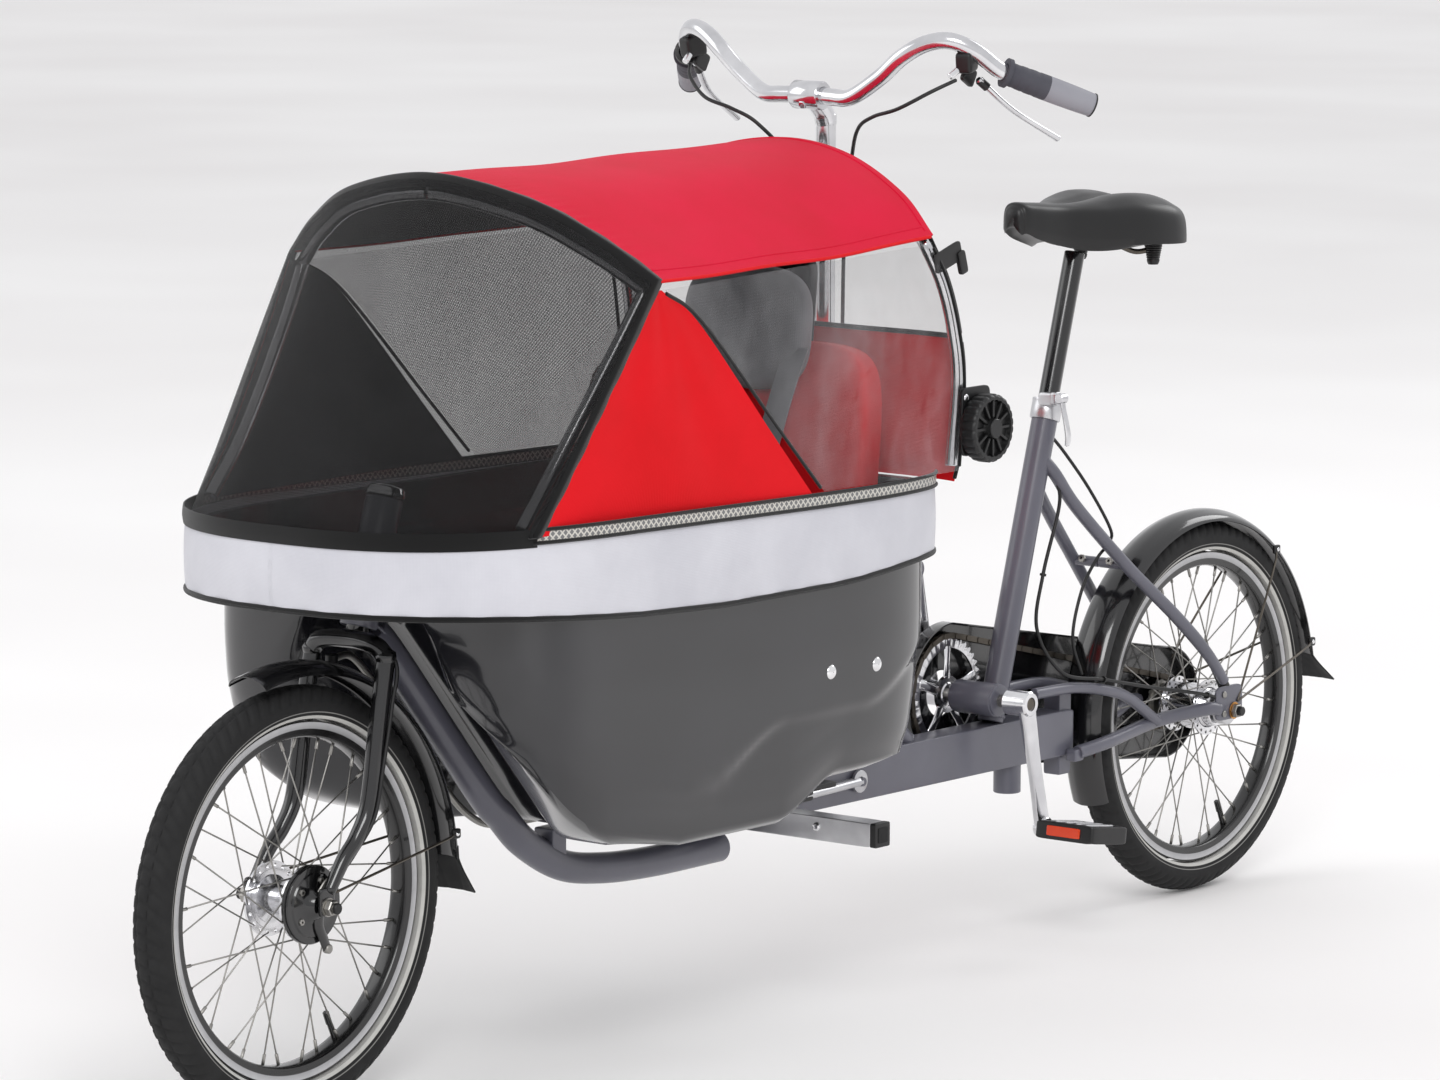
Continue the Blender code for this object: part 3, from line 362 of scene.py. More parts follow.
# Coated polyester: a tight weave under a thin coating, drawn as coarse as it needs to show.
redCloth = wovenCloth("redCoatedPolyester", "#CC000A", "#DA0012", 1.6, 0.8, 0.03)
# A copy of the red cloth tinted toward crimson for the roof: painted light, standing in for how the light falls across
# the roof. The cloth itself is the same as on the sides.
redClothPaintedRoofLight = wovenCloth("redCoatedPolyesterPaintedRoofLight", "#C60026", "#D40034", 1.6, 0.8, 0.03)
silverCloth = wovenCloth("silverCoatedPolyester", "#BEBEC5", "#CECED4", 1.6, 0.55, 0.15)
blackCloth = wovenCloth("blackBindingTape", "#060606", "#0C0C0D", 1.2, 0.85)
linerCloth = wovenCloth("charcoalLining", "#19191A", "#222224", 1.8, 0.9)
greyCloth = wovenCloth("greyPaddedCloth", "#77777B", "#8A8A8E", 1.8, 0.9)
# Insect screen: open between its threads.
screenCloth = wovenCloth("wovenInsectScreen", "#141414", "#232324", 2.4, 0.8, 0.1, alpha=(0.2, 0.62))
# Rubbers and vinyl: matt, with a moulded grain.
rubber = coatedSurface("mouldedRubber", "#0E0E0F", "#161617", 0.75, grain=700, relief=0.0001)
gripDark = coatedSurface("softGripDark", "#404048", "#4C4C54", 0.7, grain=700, relief=0.00015)
gripLight = coatedSurface("softGripLight", "#85858C", "#95959C", 0.7, grain=700, relief=0.00015)
saddleSkin = coatedSurface("grainedSaddleVinyl", "#050506", "#09090B", 0.36, grain=420, relief=0.00012, coat=0.04,
                           coatRoughness=0.35)
# Acrylic reflector: clear red and glossy.
reflectorRed = coatedSurface("redAcrylicReflector", "#C8280A", "#E04A14", 0.12, grain=500, relief=0.0002)
print("materials ready")


def clearVinyl():
    # Soft clear film: mostly see-through, shiny, with the long soft creases of rolled vinyl.
    made, tree, shader = newMaterial("clearVinylFilm", 0.08, **{"Specular IOR Level": 0.7, "Alpha": 0.1})
    rolled = addNode(tree, "ShaderNodeMapping", {"Scale": (1, 1, 0.45), "Rotation": (0.5, 0, 0)},
                     {"Vector": (addNode(tree, "ShaderNodeTexCoord"), "Object")})
    crease = addNode(tree, "ShaderNodeTexNoise", {"Scale": 11, "Detail": 3, "Roughness": 0.55},
                     {"Vector": (rolled, 0)})
    addNode(tree, "ShaderNodeValToRGB", {}, {"Fac": (crease, 0)}, [(0.3, "#6E6E70"), (0.7, "#B4B4B6")],
            (shader, "Base Color"))
    for socket, least, most in (("Roughness", 0.03, 0.16), ("Alpha", 0.03, 0.2)):
        addNode(tree, "ShaderNodeMapRange", {"To Min": least, "To Max": most}, {"Value": (crease, 0)},
                to=(shader, socket))
    addNode(tree, "ShaderNodeBump", {"Strength": 1.0, "Distance": 0.014}, {"Height": (crease, 0)},
            to=(shader, "Normal"))
    return made


def hatchedTape():
    # Retro-reflective tape: a silver grid of slanted 6.5 mm cells in the piece's own UV metres.
    made, tree, shader = newMaterial("hatchedReflectiveTape", 0.45)
    slant = addNode(tree, "ShaderNodeMapping", {"Rotation": (0, 0, math.radians(45))},
                    {"Vector": (addNode(tree, "ShaderNodeTexCoord"), "UV")})
    one, two = (addNode(tree, "ShaderNodeTexWave", {"bands_direction": way, "Scale": waveRate(6.5)},
                        {"Vector": (slant, 0)}) for way in "XY")
    grid = addNode(tree, "ShaderNodeMath", {"operation": "MAXIMUM"}, {0: (one, "Fac"), 1: (two, "Fac")})
    addNode(tree, "ShaderNodeValToRGB", {}, {"Fac": (grid, 0)}, [(0.72, "#6F6F70"), (0.9, "#C9C6BE")],
            (shader, "Base Color"))
    addNode(tree, "ShaderNodeBump", {"Strength": 0.5, "Distance": 0.0003}, {"Height": (grid, 0)},
            to=(shader, "Normal"))
    return made


vinylFilm = clearVinyl()
reflectiveTape = hatchedTape()

# ---- camera, floor and light

view = {"azimuth": 38.392, "elevation": 7.862, "roll": 0.173, "aim": (0.0, -115.01, 582.9),
        "distance": 8597.4, "lens": 175.38}


def placeCamera(v):
    # The camera stands off the aim point along a direction given by azimuth and elevation, then rolls.
    a, e, r = (math.radians(v[k]) for k in ("azimuth", "elevation", "roll"))
    ahead = np.array([-math.sin(a) * math.cos(e), math.cos(a) * math.cos(e), -math.sin(e)])
    right = np.array([math.cos(a), math.sin(a), 0.0])
    up = np.cross(right, ahead)
    right, up = right * math.cos(r) + up * math.sin(r), -right * math.sin(r) + up * math.cos(r)
    data = bpy.data.cameras.new("camera")
    data.lens = v["lens"]
    data.sensor_width = 36
    data.clip_end = 120
    camera = bpy.data.objects.new("camera", data)
    bpy.context.scene.collection.objects.link(camera)
    turn = Matrix((right, up, -ahead)).transposed().to_4x4()
    camera.matrix_world = Matrix.Translation(toWorld(np.array(v["aim"]) - ahead * v["distance"])) @ turn
    bpy.context.scene.camera = camera


def areaLight(name, place, aim, size, power):
    # A square light that faces its aim point.
    data = bpy.data.lights.new(name, "AREA")
    data.energy = power
    data.size = size
    lamp = bpy.data.objects.new(name, data)
    bpy.context.scene.collection.objects.link(lamp)
    lamp.location = place
    lamp.rotation_euler = (Vector(aim) - Vector(place)).to_track_quat("-Z", "Y").to_euler()


studio = {"half": 42000, "floor": ("#F1EFEE", "#FAF9F8"), "cloud": 0.6, "sky": "#FDFDFF", "skyPower": 0.86,
          "lights": {"keyLight": ((4.5, -5.0, 5.0), (0, 0, 0.5), 3.0, 210),
                     "fillLight": ((-5.0, -3.5, 3.5), (0, 0, 0.6), 4.0, 60),
                     "backLight": ((1.0, 6.0, 4.5), (0, 0, 0.7), 3.0, 90)}}


def makeStudio():
    # A pale floor wide enough to have no edge in view, a bright sky and three soft lights.
    x = np.linspace(-studio["half"], studio["half"], 24)
    grid = np.stack(np.meshgrid(x, x, [0.0], indexing="ij"), -1)[:, :, 0]
    mesh = bpy.data.meshes.new("studioFloor")
    part = surface(grid)
    mesh.from_pydata(toWorld(part["points"] - [0, 0, 0.4]).tolist(), [], part["quads"].tolist())
    floor = bpy.data.objects.new("studioFloor", mesh)
    made, tree, shader = newMaterial("palePaperFloor", 0.7)
    cloud = addNode(tree, "ShaderNodeTexNoise", {"Scale": studio["cloud"], "Detail": 2},
                    {"Vector": (addNode(tree, "ShaderNodeTexCoord"), "Object")})
    addNode(tree, "ShaderNodeValToRGB", {}, {"Fac": (cloud, 0)}, list(zip((0.3, 0.7), studio["floor"])),
            (shader, "Base Color"))
    mesh.materials.append(made)
    bpy.context.scene.collection.objects.link(floor)
    world = bpy.data.worlds.new("studio")
    world.use_nodes = True
    sky = world.node_tree.nodes["Background"]
    sky.inputs[0].default_value = linear(studio["sky"])
    sky.inputs[1].default_value = studio["skyPower"]
    bpy.context.scene.world = world
    for name, setting in studio["lights"].items():
        areaLight(name, *setting)
    bpy.context.scene.view_settings.view_transform = "Standard"


placeCamera(view)
makeStudio()
print("studio ready")

# ---- wheels

wheel = {"tyreRadius": 226.3, "tyreHalf": 23.2, "spokes": 36, "spokeRadius": 1.0, "treadRows": 84}


def wheelTyre(y):
    # A section turned round the axle; the crown carries a shallow chevron tread cut into its height.
    around, across = 504, 46
    turn = np.linspace(0, 2 * np.pi, around, endpoint=False)[:, None]
    a = np.linspace(math.radians(-128), math.radians(128), across)[None, :]
    tread = wheel["treadRows"] * turn + np.abs(a) * 5.2
    groove = np.clip(np.cos(tread) * 2.2 - 1.1, 0, 1) * np.clip(1.5 - np.abs(a) * 0.95, 0, 1) ** 0.5
    lines = np.exp(-((np.abs(a) - 0.36) / 0.05) ** 2) * np.ones_like(turn)
    depth = np.maximum(groove, lines) * 2.1 * (np.abs(a) < 1.25)
    reach = wheel["tyreHalf"] - depth
    x = np.sin(a) * reach
    r = wheel["tyreRadius"] + np.cos(a) * reach
    # The bead turns in under the rim edge.
    inner = np.linspace(0, 1, 5)[1:-1][None, :]
    endX = np.sin(math.radians(128)) * wheel["tyreHalf"]
    endR = wheel["tyreRadius"] + math.cos(math.radians(128)) * wheel["tyreHalf"]
    fillX = endX * (1 - 2 * inner) * np.ones_like(turn)
    fillR = (endR + 1.2 * np.sin(np.pi * inner)) * np.ones_like(turn)
    x = np.concatenate([np.broadcast_to(x, (around, across)), fillX], 1)
    r = np.concatenate([np.broadcast_to(r, (around, across)), fillR], 1)
    grid = np.stack([x, y + r * np.sin(turn), 250 + r * np.cos(turn)], -1)
    return surface(grid, closeU=True, closeV=True, flip=True)


rim = {"half": [(10.5, 190.2), (12.6, 192), (13.2, 196), (13.4, 206.5), (14.2, 208.2), (13.4, 209.2), (12.2, 208.6),
               (11.4, 204.5), (6.0, 202.8)]}


def wheelRim(y):
    # A double-wall section: flat side walls for the brake, a rolled lip each side and a sloping well.
    outline = [(-x, r) for x, r in rim["half"][::-1]] + [(-4.5, 189.2), (4.5, 189.2)] + rim["half"]
    return turned(outline, (0, y, 250), steps=144)


def spokeSet(y, hubRadius, hubHalf):
    # Crossed lacing: neighbours lean opposite ways and alternate between the two flanges.
    starts, ends, nipples, tips = [], [], [], []
    for k in range(wheel["spokes"]):
        side = 1 if k % 2 else -1
        lean = 1 if (k // 2) % 2 else -1
        rimTurn = 2 * math.pi * (k + 0.5) / wheel["spokes"]
        hubTurn = rimTurn + lean * math.radians(62)
        outward = 1.2 if (k // 2) % 2 else -1.2
        start = (side * (hubHalf + outward), y + hubRadius * math.sin(hubTurn), 250 + hubRadius * math.cos(hubTurn))
        end = (side * 2.5, y + 189.4 * math.sin(rimTurn), 250 + 189.4 * math.cos(rimTurn))
        starts.append(start)
        ends.append(end)
        joint = np.add(start, np.subtract(end, start) * 0.925)
        nipples.append(joint)
        tips.append(end)
    return manyBars(starts, ends, wheel["spokeRadius"], 6) + manyBars(nipples, tips, 2.0, 8)


def hubFlange(x, y, radius, thickness, holes, holeRadius, ring):
    # A round plate with a ring of real round holes: the annulus is stitched between circles.
    parts = []
    inner, outer = ring - holeRadius * 1.5, radius
    for k in range(holes):
        a0 = 2 * math.pi * k / holes
        pts = []
        count = 24
        for j in range(count):
            b = 2 * math.pi * j / count
            hole = np.array([ring * math.cos(a0) + holeRadius * math.cos(b + a0),
                             ring * math.sin(a0) + holeRadius * math.sin(b + a0)])
            # The cell edge seen from the hole: a sector of the ring between inner and outer.
            u, w = math.cos(b), math.sin(b)
            m = max(abs(u), abs(w))
            u, w = u / m, w / m
            reach = (inner + outer) / 2 + u * (outer - inner) / 2
            turn = a0 + w * math.pi / holes
            cell = np.array([reach * math.cos(turn), reach * math.sin(turn)])
            pts.append((hole, cell))
        hole = np.array([p[0] for p in pts])
        cell = np.array([p[1] for p in pts])
        loop = [np.column_stack([np.full(count, x + s * thickness / 2), y + q[:, 0], 250 + q[:, 1]])
                for s, q in ((1, hole), (1, cell), (-1, cell), (-1, hole))]
        parts.append(surface(np.stack(loop, 1), closeU=True, closeV=True))
    return parts


bands = {"tyre": [(205, "#0D0D0E"), (210.5, "#0D0D0E"), (211.0, "#C9C8C4"), (215.6, "#CFCEC9"), (216.0, "#0D0D0E"),
                 (219.2, "#0D0D0E"), (219.5, "#8F8E8B"), (220.3, "#8F8E8B"), (220.6, "#0D0D0E"), (250, "#111112")],
         "rim": [(185, "#0E0E0F"), (199.5, "#0E0E0F"), (200.2, "#A9A9AB"), (207.2, "#C4C4C6"), (207.8, "#111112"),
                (212, "#111112")]}


def makeTyreAndRim(name, y, body):
    # Bands of the sidewall and rim are colours by radius, so each piece has one material.
    stops = bands["tyre"]
    skinOf = stripedByRadius(name + "TyreRubber", y, stops, 0.78)
    addPiece(name + "TyreTread", [wheelTyre(y)], skinOf, body, [name + "_tyre"], sharp=50)
    stops = bands["rim"]
    paint = stripedByRadius(name + "RimPaint", y, stops, 0.25, 300, 0.00001, 0.3)
    parts = [wheelRim(y)]
    # The valve sits between two spokes, with its cap.
    turn = math.radians(156)
    out = np.array([0, math.sin(turn), math.cos(turn)])
    centre = np.array([0, y, 250.0])
    parts += [bar(centre + out * 191, centre + out * 166, 3.0, 14),
              bar(centre + out * 169, centre + out * 152, 3.9, 12)]
    addPiece(name + "RimWithValve", parts, paint, body, [name + "_rim"])


frontHub = {"flanges": (-28.5, 26.0),
            "shell": [(-48, 5.4), (-48, 12.5), (-46, 14.2), (-33, 14.2), (-31, 17), (-31, 28), (-25, 28),
                     (-22, 17.5), (-8, 16.5), (6, 18), (12, 26), (25, 28), (28, 28), (28, 5.4)]}


def makeFrontHub():
    y = -axleY
    parts = spokeSet(y, 38.5, 29.5)
    addPiece("frontLacedSpokes", parts, steel, "front_wheel", ["front_spokes"], sharp=60)
    parts = [turned(frontHub["shell"], (0, y, 250), steps=72)]
    for x in frontHub["flanges"]:
        parts += hubFlange(x, y, 43.8, 3.4, 18, 2.6, 38.6)
    for x in frontHub["flanges"]:
        parts.append(collar(x - 2.0, x + 2.0, 27.5, 34.5, (0, y, 250)))
    addPiece("frontHubShell", parts, polished, "front_wheel", ["front_hub"], sharp=30)


rearHub = {"flanges": (-26.0, 26.0),
           "shell": [(-36, 20), (-36, 23.5), (-34.5, 24), (-27.7, 26), (-27.7, 29), (-22, 29.5), (0, 31), (22, 30),
                    (24.3, 26), (27.7, 26), (30.5, 24), (42.5, 24), (44, 22.6), (44, 12), (-36, 12)]}


def makeRearHub():
    y = axleY
    parts = spokeSet(y, 33.2, 26.0)
    addPiece("rearLacedSpokes", parts, steel, "rear_wheel", ["rear_spokes"], sharp=60)
    parts = [turned(rearHub["shell"],
                    (0, y, 250), steps=72)]
    for x in rearHub["flanges"]:
        parts += hubFlange(x, y, 37.4, 3.2, 18, 2.3, 33.2)
        parts.append(collar(x - 1.9, x + 1.9, 27.5, 29.9, (0, y, 250)))
    addPiece("rearGearedHub", parts, polished, "rear_wheel", ["rear_hub"], sharp=30)


makeTyreAndRim("front", -axleY, "front_wheel")
makeTyreAndRim("rear", axleY, "rear_wheel")
makeFrontHub()
makeRearHub()
print("wheels ready")

# ---- brake plate and rear axle fittings


def hexNut(x, y, z, half, radius, axis=(1, 0, 0)):
    # A six-sided nut with a chamfer on both faces.
    profile = [(-half, radius * 0.4), (-half, radius * 0.88), (-half * 0.75, radius), (half * 0.75, radius),
               (half, radius * 0.88), (half, radius * 0.4)]
    return turned(profile, (x, y, z), axis, steps=6)


drumPlate = {"plate": [(29.4, 20), (29.4, 44.8), (30.2, 45.8), (36.6, 45.8), (38.2, 44.6), (38.6, 38), (40.4, 36.5),
                      (40.8, 22), (43, 17), (49, 13), (50, 11.8), (50, 5)]}


def makeBrakePlate():
    y = -axleY
    parts = [(turned(drumPlate["plate"], (0, y, 250)), 0)]
    for k in range(5):
        a = math.radians(72 * k + 20)
        parts.append((hexNut(41.2, y + 29 * math.sin(a), 250 + 29 * math.cos(a), 1.6, 4.2), 1))
    parts.append((bar((-76, y, 250), (76, y, 250), 4.9, 20), 1))
    for x in (-65.5, 65.5):
        parts.append((hexNut(x, y, 250, 4.4, 9.8), 1))
        parts.append((collar(-1, 1, 5, 11, (x * 0.925, y, 250)), 1))
        parts.append((bar((x + 6 * np.sign(x), y, 250), (x + 11 * np.sign(x), y, 250), 6.6, 20), 2))
    # The torque arm leans down and rearward to its clip, and the cable lever stands beside it.
    arm = [(41.5, y + 6, 243), (42, -903, 226), (42, -895, 209), (41.5, -889, 197)]
    parts.append((tube(even(spline(arm), 24), np.linspace(8.5, 6.2, 24), 20, squash=0.5), 0))
    parts.append((bar((38.5, -889, 197), (46.5, -889, 197), 5.5, 20), 1))
    lever = [(44, y + 4, 262), (45, -893, 274), (46, -879, 280)]
    parts.append((tube(even(spline(lever), 14), np.linspace(6.0, 4.2, 14), 16, squash=0.45), 1))
    addPiece("frontDrumPlate", parts, [blackPaint, steel, blackPlastic], "fork",
             ["front_brake_plate"])


rearAxle = {"pulley": [(46.4, 6), (46.4, 19), (47.2, 20), (59.6, 20), (60.6, 19), (60.6, 6)]}


def makeRearAxle():
    y = axleY
    parts = [(bar((-82, y, 250), (82, y, 250), 4.9, 20), 0)]
    for s in (-1, 1):
        parts.append((hexNut(s * 73.6, y, 250, 4.0, 9.6), 0))
        parts.append((bar((s * 77.5, y, 250), (s * 83.5, y, 250), 6.4, 18), 2))
    # Cable pulley stack of the geared hub and copper-coloured washers.
    parts.append((turned(rearAxle["pulley"], (0, y, 250)), 1))
    parts.append((collar(61, 62.6, 6, 12.5, (0, y, 250)), 3))
    parts.append((collar(69.2, 69.9, 6, 11.5, (0, y, 250)), 3))
    addPiece("rearAxleFittings", parts, [steel, brushed, blackPlastic, copperWasher], "frame",
             ["rear_axle"])


makeBrakePlate()
makeRearAxle()

# ---- fork and mudguards


def headAxis(z):
    # The point of the raked steering axis at this height.
    return np.array([0, -738 - (700 - z) * math.tan(headTilt), z])


forkSizes = {"dome": [(0, 2), (0, 23), (4, 23.6), (5, 22.6), (9, 21.6), (11.5, 18), (12.8, 12), (13.2, 2)],
             "crown": [(-57, -801, 524), (-40, -803, 538), (0, -800, 541), (40, -803, 538), (57, -801, 524)],
             "blade": [(56, -801, 524), (57, -818, 442), (57, -833, 359), (57, -855, 322), (57, -878, 300),
                      (57, -903, 266)]}


def makeFork():
    parts = [(bar(headAxis(540), headAxis(712), 13.9, 32), 0)]
    for s in (1, -1):
        path = even(spline(np.array(forkSizes["blade"]) * [s, 1, 1]), 60)
        taper = np.interp(np.linspace(0, 1, 60), [0, 0.55, 1], [11.0, 11.0, 7.6])
        parts.append((tube(path, taper, 28, ends=2), 0))
        parts.append((roundBlock((s * 57, -axleY + 0.5, 256), (5.6, 25, 33), sharpness=0.35), 0))
        parts.append((bar((s * 56, -800, 518), (s * 56, -803, 533), 12.2, 28, ends=4), 0))
    crown = spline(forkSizes["crown"], 50)
    parts.append((tube(crown, 11.0, 28, (0, 0, 1), ends=3), 0))
    parts.append((roundBlock((-64, -776, 492), (19.6, 55, 7.8), sharpness=0.3), 0))
    axis = (0, math.sin(headTilt), math.cos(headTilt))
    parts.append((turned(forkSizes["dome"], headAxis(700.2), axis, 60), 1))
    addPiece("forkAndCrown", parts, [blackPaint, chrome], "fork", ["fork"], sharp=45)


def makeGuard(centreY, radius, first, last, flapY, flapZ):
    # An arched section carried round the axle with a raised rib, then a rubber flap flaring to a flat edge.
    u = np.linspace(-1, 1, 27)[None, :]
    a = np.radians(np.linspace(first, last, 150))[:, None]
    bend = math.pi / 2 * 0.94
    x = 28.8 * np.sin(u * bend) / math.sin(bend) + 0 * a
    drop = 13.8 * (1 - np.cos(u * bend)) / (1 - math.cos(bend))
    r = radius - drop + 1.1 * np.exp(-(u / 0.3) ** 4) - 1.0
    grid = np.stack([x, centreY + r * np.cos(a), 250 + r * np.sin(a)], -1)
    end = grid[-1]
    along = (grid[-1, 13] - grid[-6, 13]) / np.linalg.norm(grid[-1, 13] - grid[-6, 13])
    out = (end[13] - [0, centreY, 250]) / np.linalg.norm(end[13] - [0, centreY, 250])
    target = np.column_stack([33.6 * u[0], flapY - 5 * u[0] ** 2, np.full(27, flapZ)])
    rows = []
    for t in np.linspace(-0.25, 1, 22):
        w = max(t, 0)
        base = end + along * 60 * min(t, 0)
        rows.append(base * (1 - w) + target * w + out * 1.7 * (1 - w))
    # Three pressed ribs run down the flap.
    flap = np.array(rows) + out * (0.9 * np.exp(-((np.abs(u[0]) - 0.35) / 0.07) ** 2))[None, :, None]
    return [(skin(grid, 1.6, flip=True), 0), (skin(flap, 1.8, flip=True), 1)]


def guardStay(clip, target, x):
    # A thin wire each side from the guard's clip to the fitting near the axle, with its clip and rivet.
    parts = []
    for s in (-1, 1):
        a, b = np.array([s * 29.5, *clip]), np.array([s * x, *target])
        knots = [a, a + (b - a) * 0.12 + [s * 4, 0, 0], b]
        parts.append((tube(even(spline(knots), 16), 1.6, 10), 2))
        parts.append((roundBlock(a + [s * 0.6, 0, 0], (5.0, 14, 12), sharpness=0.4, across=12, around=20), 3))
        parts.append((bar(a + [s * 2.6, 0, 0], a + [s * 4.6, 0, 0], 3.0, 14, ends=0.8), 4))
    return parts


def roundAxle(y, radius, degrees):
    # A point on a circle round the axle, as Y and Z.
    return (y + radius * math.cos(math.radians(degrees)), 250 + radius * math.sin(math.radians(degrees)))


guardLook = [blackPaint, rubber, darkSteel, blackPlastic, chrome]
parts = makeGuard(-axleY, 278, 105, 3, -612, 222) + guardStay(roundAxle(-axleY, 263, 10), (-897, 266), 62)
addPiece("frontGuardAndFlap", parts, guardLook, "fork", ["front_mudguard"], sharp=50)
parts = makeGuard(axleY, 266, 203, 9, 1209, 253)
for degrees in (14, 52):
    parts += guardStay(roundAxle(axleY, 251, degrees), (914, 262), 70)
addPiece("rearGuardAndFlap", parts, guardLook, "frame", ["rear_mudguard"], sharp=50)
makeFork()
print("fork and guards ready")

# ---- frame

seatAxis = (np.array([0, 570, 692.0]), np.array([0, 0.2986, 1.0]))  # top of the seat tube and its rake


def through(points, count=120):
    # A smooth curve through the points, evenly spaced.
    return even(spline(points, count * 2), count)


def weld(centre, axis, radius, size=2.6):
    # A rippled bead of weld round a joint.
    axis = np.asarray(axis, float) / np.linalg.norm(axis)
    helper = np.array([1.0, 0, 0]) if abs(axis[0]) < 0.8 else np.array([0, 1.0, 0])
    first = np.cross(axis, helper)
    first /= np.linalg.norm(first)
    second = np.cross(axis, first)
    turn = np.linspace(0, 2 * np.pi, 120, endpoint=False)[:, None]
    section = np.linspace(0, 2 * np.pi, 10, endpoint=False)[None, :]
    grow = size * (1 + 0.12 * np.sin(30 * turn))
    ring = radius + grow * np.cos(section)
    grid = (np.asarray(centre, float) + (np.cos(turn) * ring)[..., None]
            * first + (np.sin(turn) * ring)[..., None] * second
         + (grow * np.sin(section))[..., None] * axis)
    return surface(grid, closeU=True, closeV=True)


frameTubes = {"bends": [(0, -763, 548), (0, -723, 508), (0, -570, 333), (0, -533, 298), (0, -491, 260),
                       (0, -422, 223), (0, -346, 208), (0, -250, 202), (0, -116, 202)],
              "cup": [(-35, 8), (-35, 17), (-34, 20.4), (-31, 20.4), (-30.5, 21.4), (30.5, 21.4), (31, 20.4),
                     (34, 20.4), (35, 17), (35, 8)],
              "stay": [(9, 549, 618), (19, 562, 598), (26, 600, 552), (42, 690, 468), (62, 780, 390), (73, 835, 337),
                      (73, 878, 293)],
              "lower": [(32, 600, 229), (38.5, 655, 236), (38, 770, 250), (62, 850, 258), (66, 875, 255)]}


def makeFrame():
    tilt = (0, math.sin(headTilt), math.cos(headTilt))
    middle = headAxis(625.5)
    parts = [turned([(-76.2, 15.2), (-76.2, 21), (-75, 22), (75, 22), (76.2, 21), (76.2, 15.2)], middle, tilt, 64)]
    addPiece("headTube", parts, framePaint, "frame", ["head_tube"])
    parts = [tube(through(frameTubes["bends"]), 19, 40), roundBlock((0, -440, 246), (30, 26, 51), sharpness=0.12),
             weld((0, -763, 548), (0, 1, 1.15), 17.5)]
    addPiece("downTube", parts, framePaint, "frame", ["down_tube"])
    parts = [roundBlock((0, 270, 255), (40, 679.4, 59.6), sharpness=0.07),
             roundBlock((0, -125, 272.5), (35.8, 139, 20.6), sharpness=0.1),
             roundBlock((0, -172, 251), (35.8, 43.6, 56), sharpness=0.1),
             roundBlock((0, 598, 256), (25.8, 25.8, 115.4), sharpness=0.1),
             bar((0, 487, 188.5), (0, 487, 240), 17.9, 36), bar((-33, 137, 252), (33, 137, 252), 5.9, 20)]
    parts.append(collar(-1.5, 1.5, 6, 13, (0, 487, 189.5), (0, 0, 1), 36))
    addPiece("lowBeam", parts, framePaint, "frame", ["low_beam"])
    addPiece("bracketShell", [turned(frameTubes["cup"], (0, *crankCentre), steps=64)], framePaint, "frame",
             ["bottom_bracket_shell"])
    top, along = seatAxis
    parts = [bar(top + along * (286 - 692), top, 17, 40), weld(top + along * (294 - 692), (0, 0.3, 1), 16)]
    addPiece("seatTube", parts, framePaint, "frame", ["seat_tube"])
    for name, s in (("left", 1), ("right", -1)):
        path = through(np.array(frameTubes["stay"]) * [s, 1, 1])
        parts = [(tube(path, np.interp(np.linspace(0, 1, 120), [0, .8, 1], [8.5, 8.5, 7]), 28, ends=2), 0)]
        parts.append((bar((s * 41, 690, 468), (s * 1.2, 690, 468), 6.8, 24), 0))
        parts.append((hexNut(s * 22, 681, 472, 2.2, 5.5, (0, -1, 0.4)), 1))
        parts.append((bar((s * 73, 862, 309), (s * 77, 862, 309), 5, 16), 1))
        addPiece("seatStay" + name.title(), parts, [framePaint, steel], "frame", ["seat_stay_" + name])
        brace = [(s * 29, 505, 318), (s * 32, 590, 316), (s * 40, 650, 306), (s * 41, 700, 290), (s * 43, 765, 250)]
        parts = [(tube(through(np.array(frameTubes["lower"]) * [s, 1, 1]), 9, 28), 0),
                 (tube(through(brace), 7.5, 24), 0),
                 (roundBlock((s * 66, 898, 262), (4.8, 62, 46), sharpness=0.35), 0),
                 (roundBlock((s * 28.7, 598, 226), (16.2, 20, 16), sharpness=0.25), 0)]
        for y, z in ((884, 274), (884, 248)):
            parts.append((bar((s * 68, y, z), (s * 71, y, z), 4.6, 16), 1))
        addPiece("chainStay" + name.title(), parts, [framePaint, steel], "frame",
                 ["chain_stay_" + name])
    brace = [(0, 108, 430), (0, 250, 296), (0, 262, 288)]
    parts = [bar((0, 94, 312.5), (0, 94, 700), 19.9, 40), tube(through(brace, 40), 13.9, 32)]
    for z in (313, 697):
        parts.append(collar(-3, 3, 14, 20.6, (0, 94, z), (0, 0, 1), 48))
    addPiece("columnHousing", parts, framePaint, "frame", ["column_housing"])


makeFrame()
print("frame ready")

# ---- drive

crankArm = {"boss": [(-29, 5), (-29, 14), (-27, 16.5), (6, 16.5), (8, 14.5), (8, 9), (5, 8.4), (5, 5)],
            "widthAt": [-0.03, 0, 0.12, 0.55, 0.92, 1, 1.03],
            "width": [12, 15.4, 13.6, 10.6, 11.6, 12.6, 11],
            "thickAt": [0, 0.15, 0.6, 1],
            "thick": [6.3, 6.0, 5.4, 6.0]}


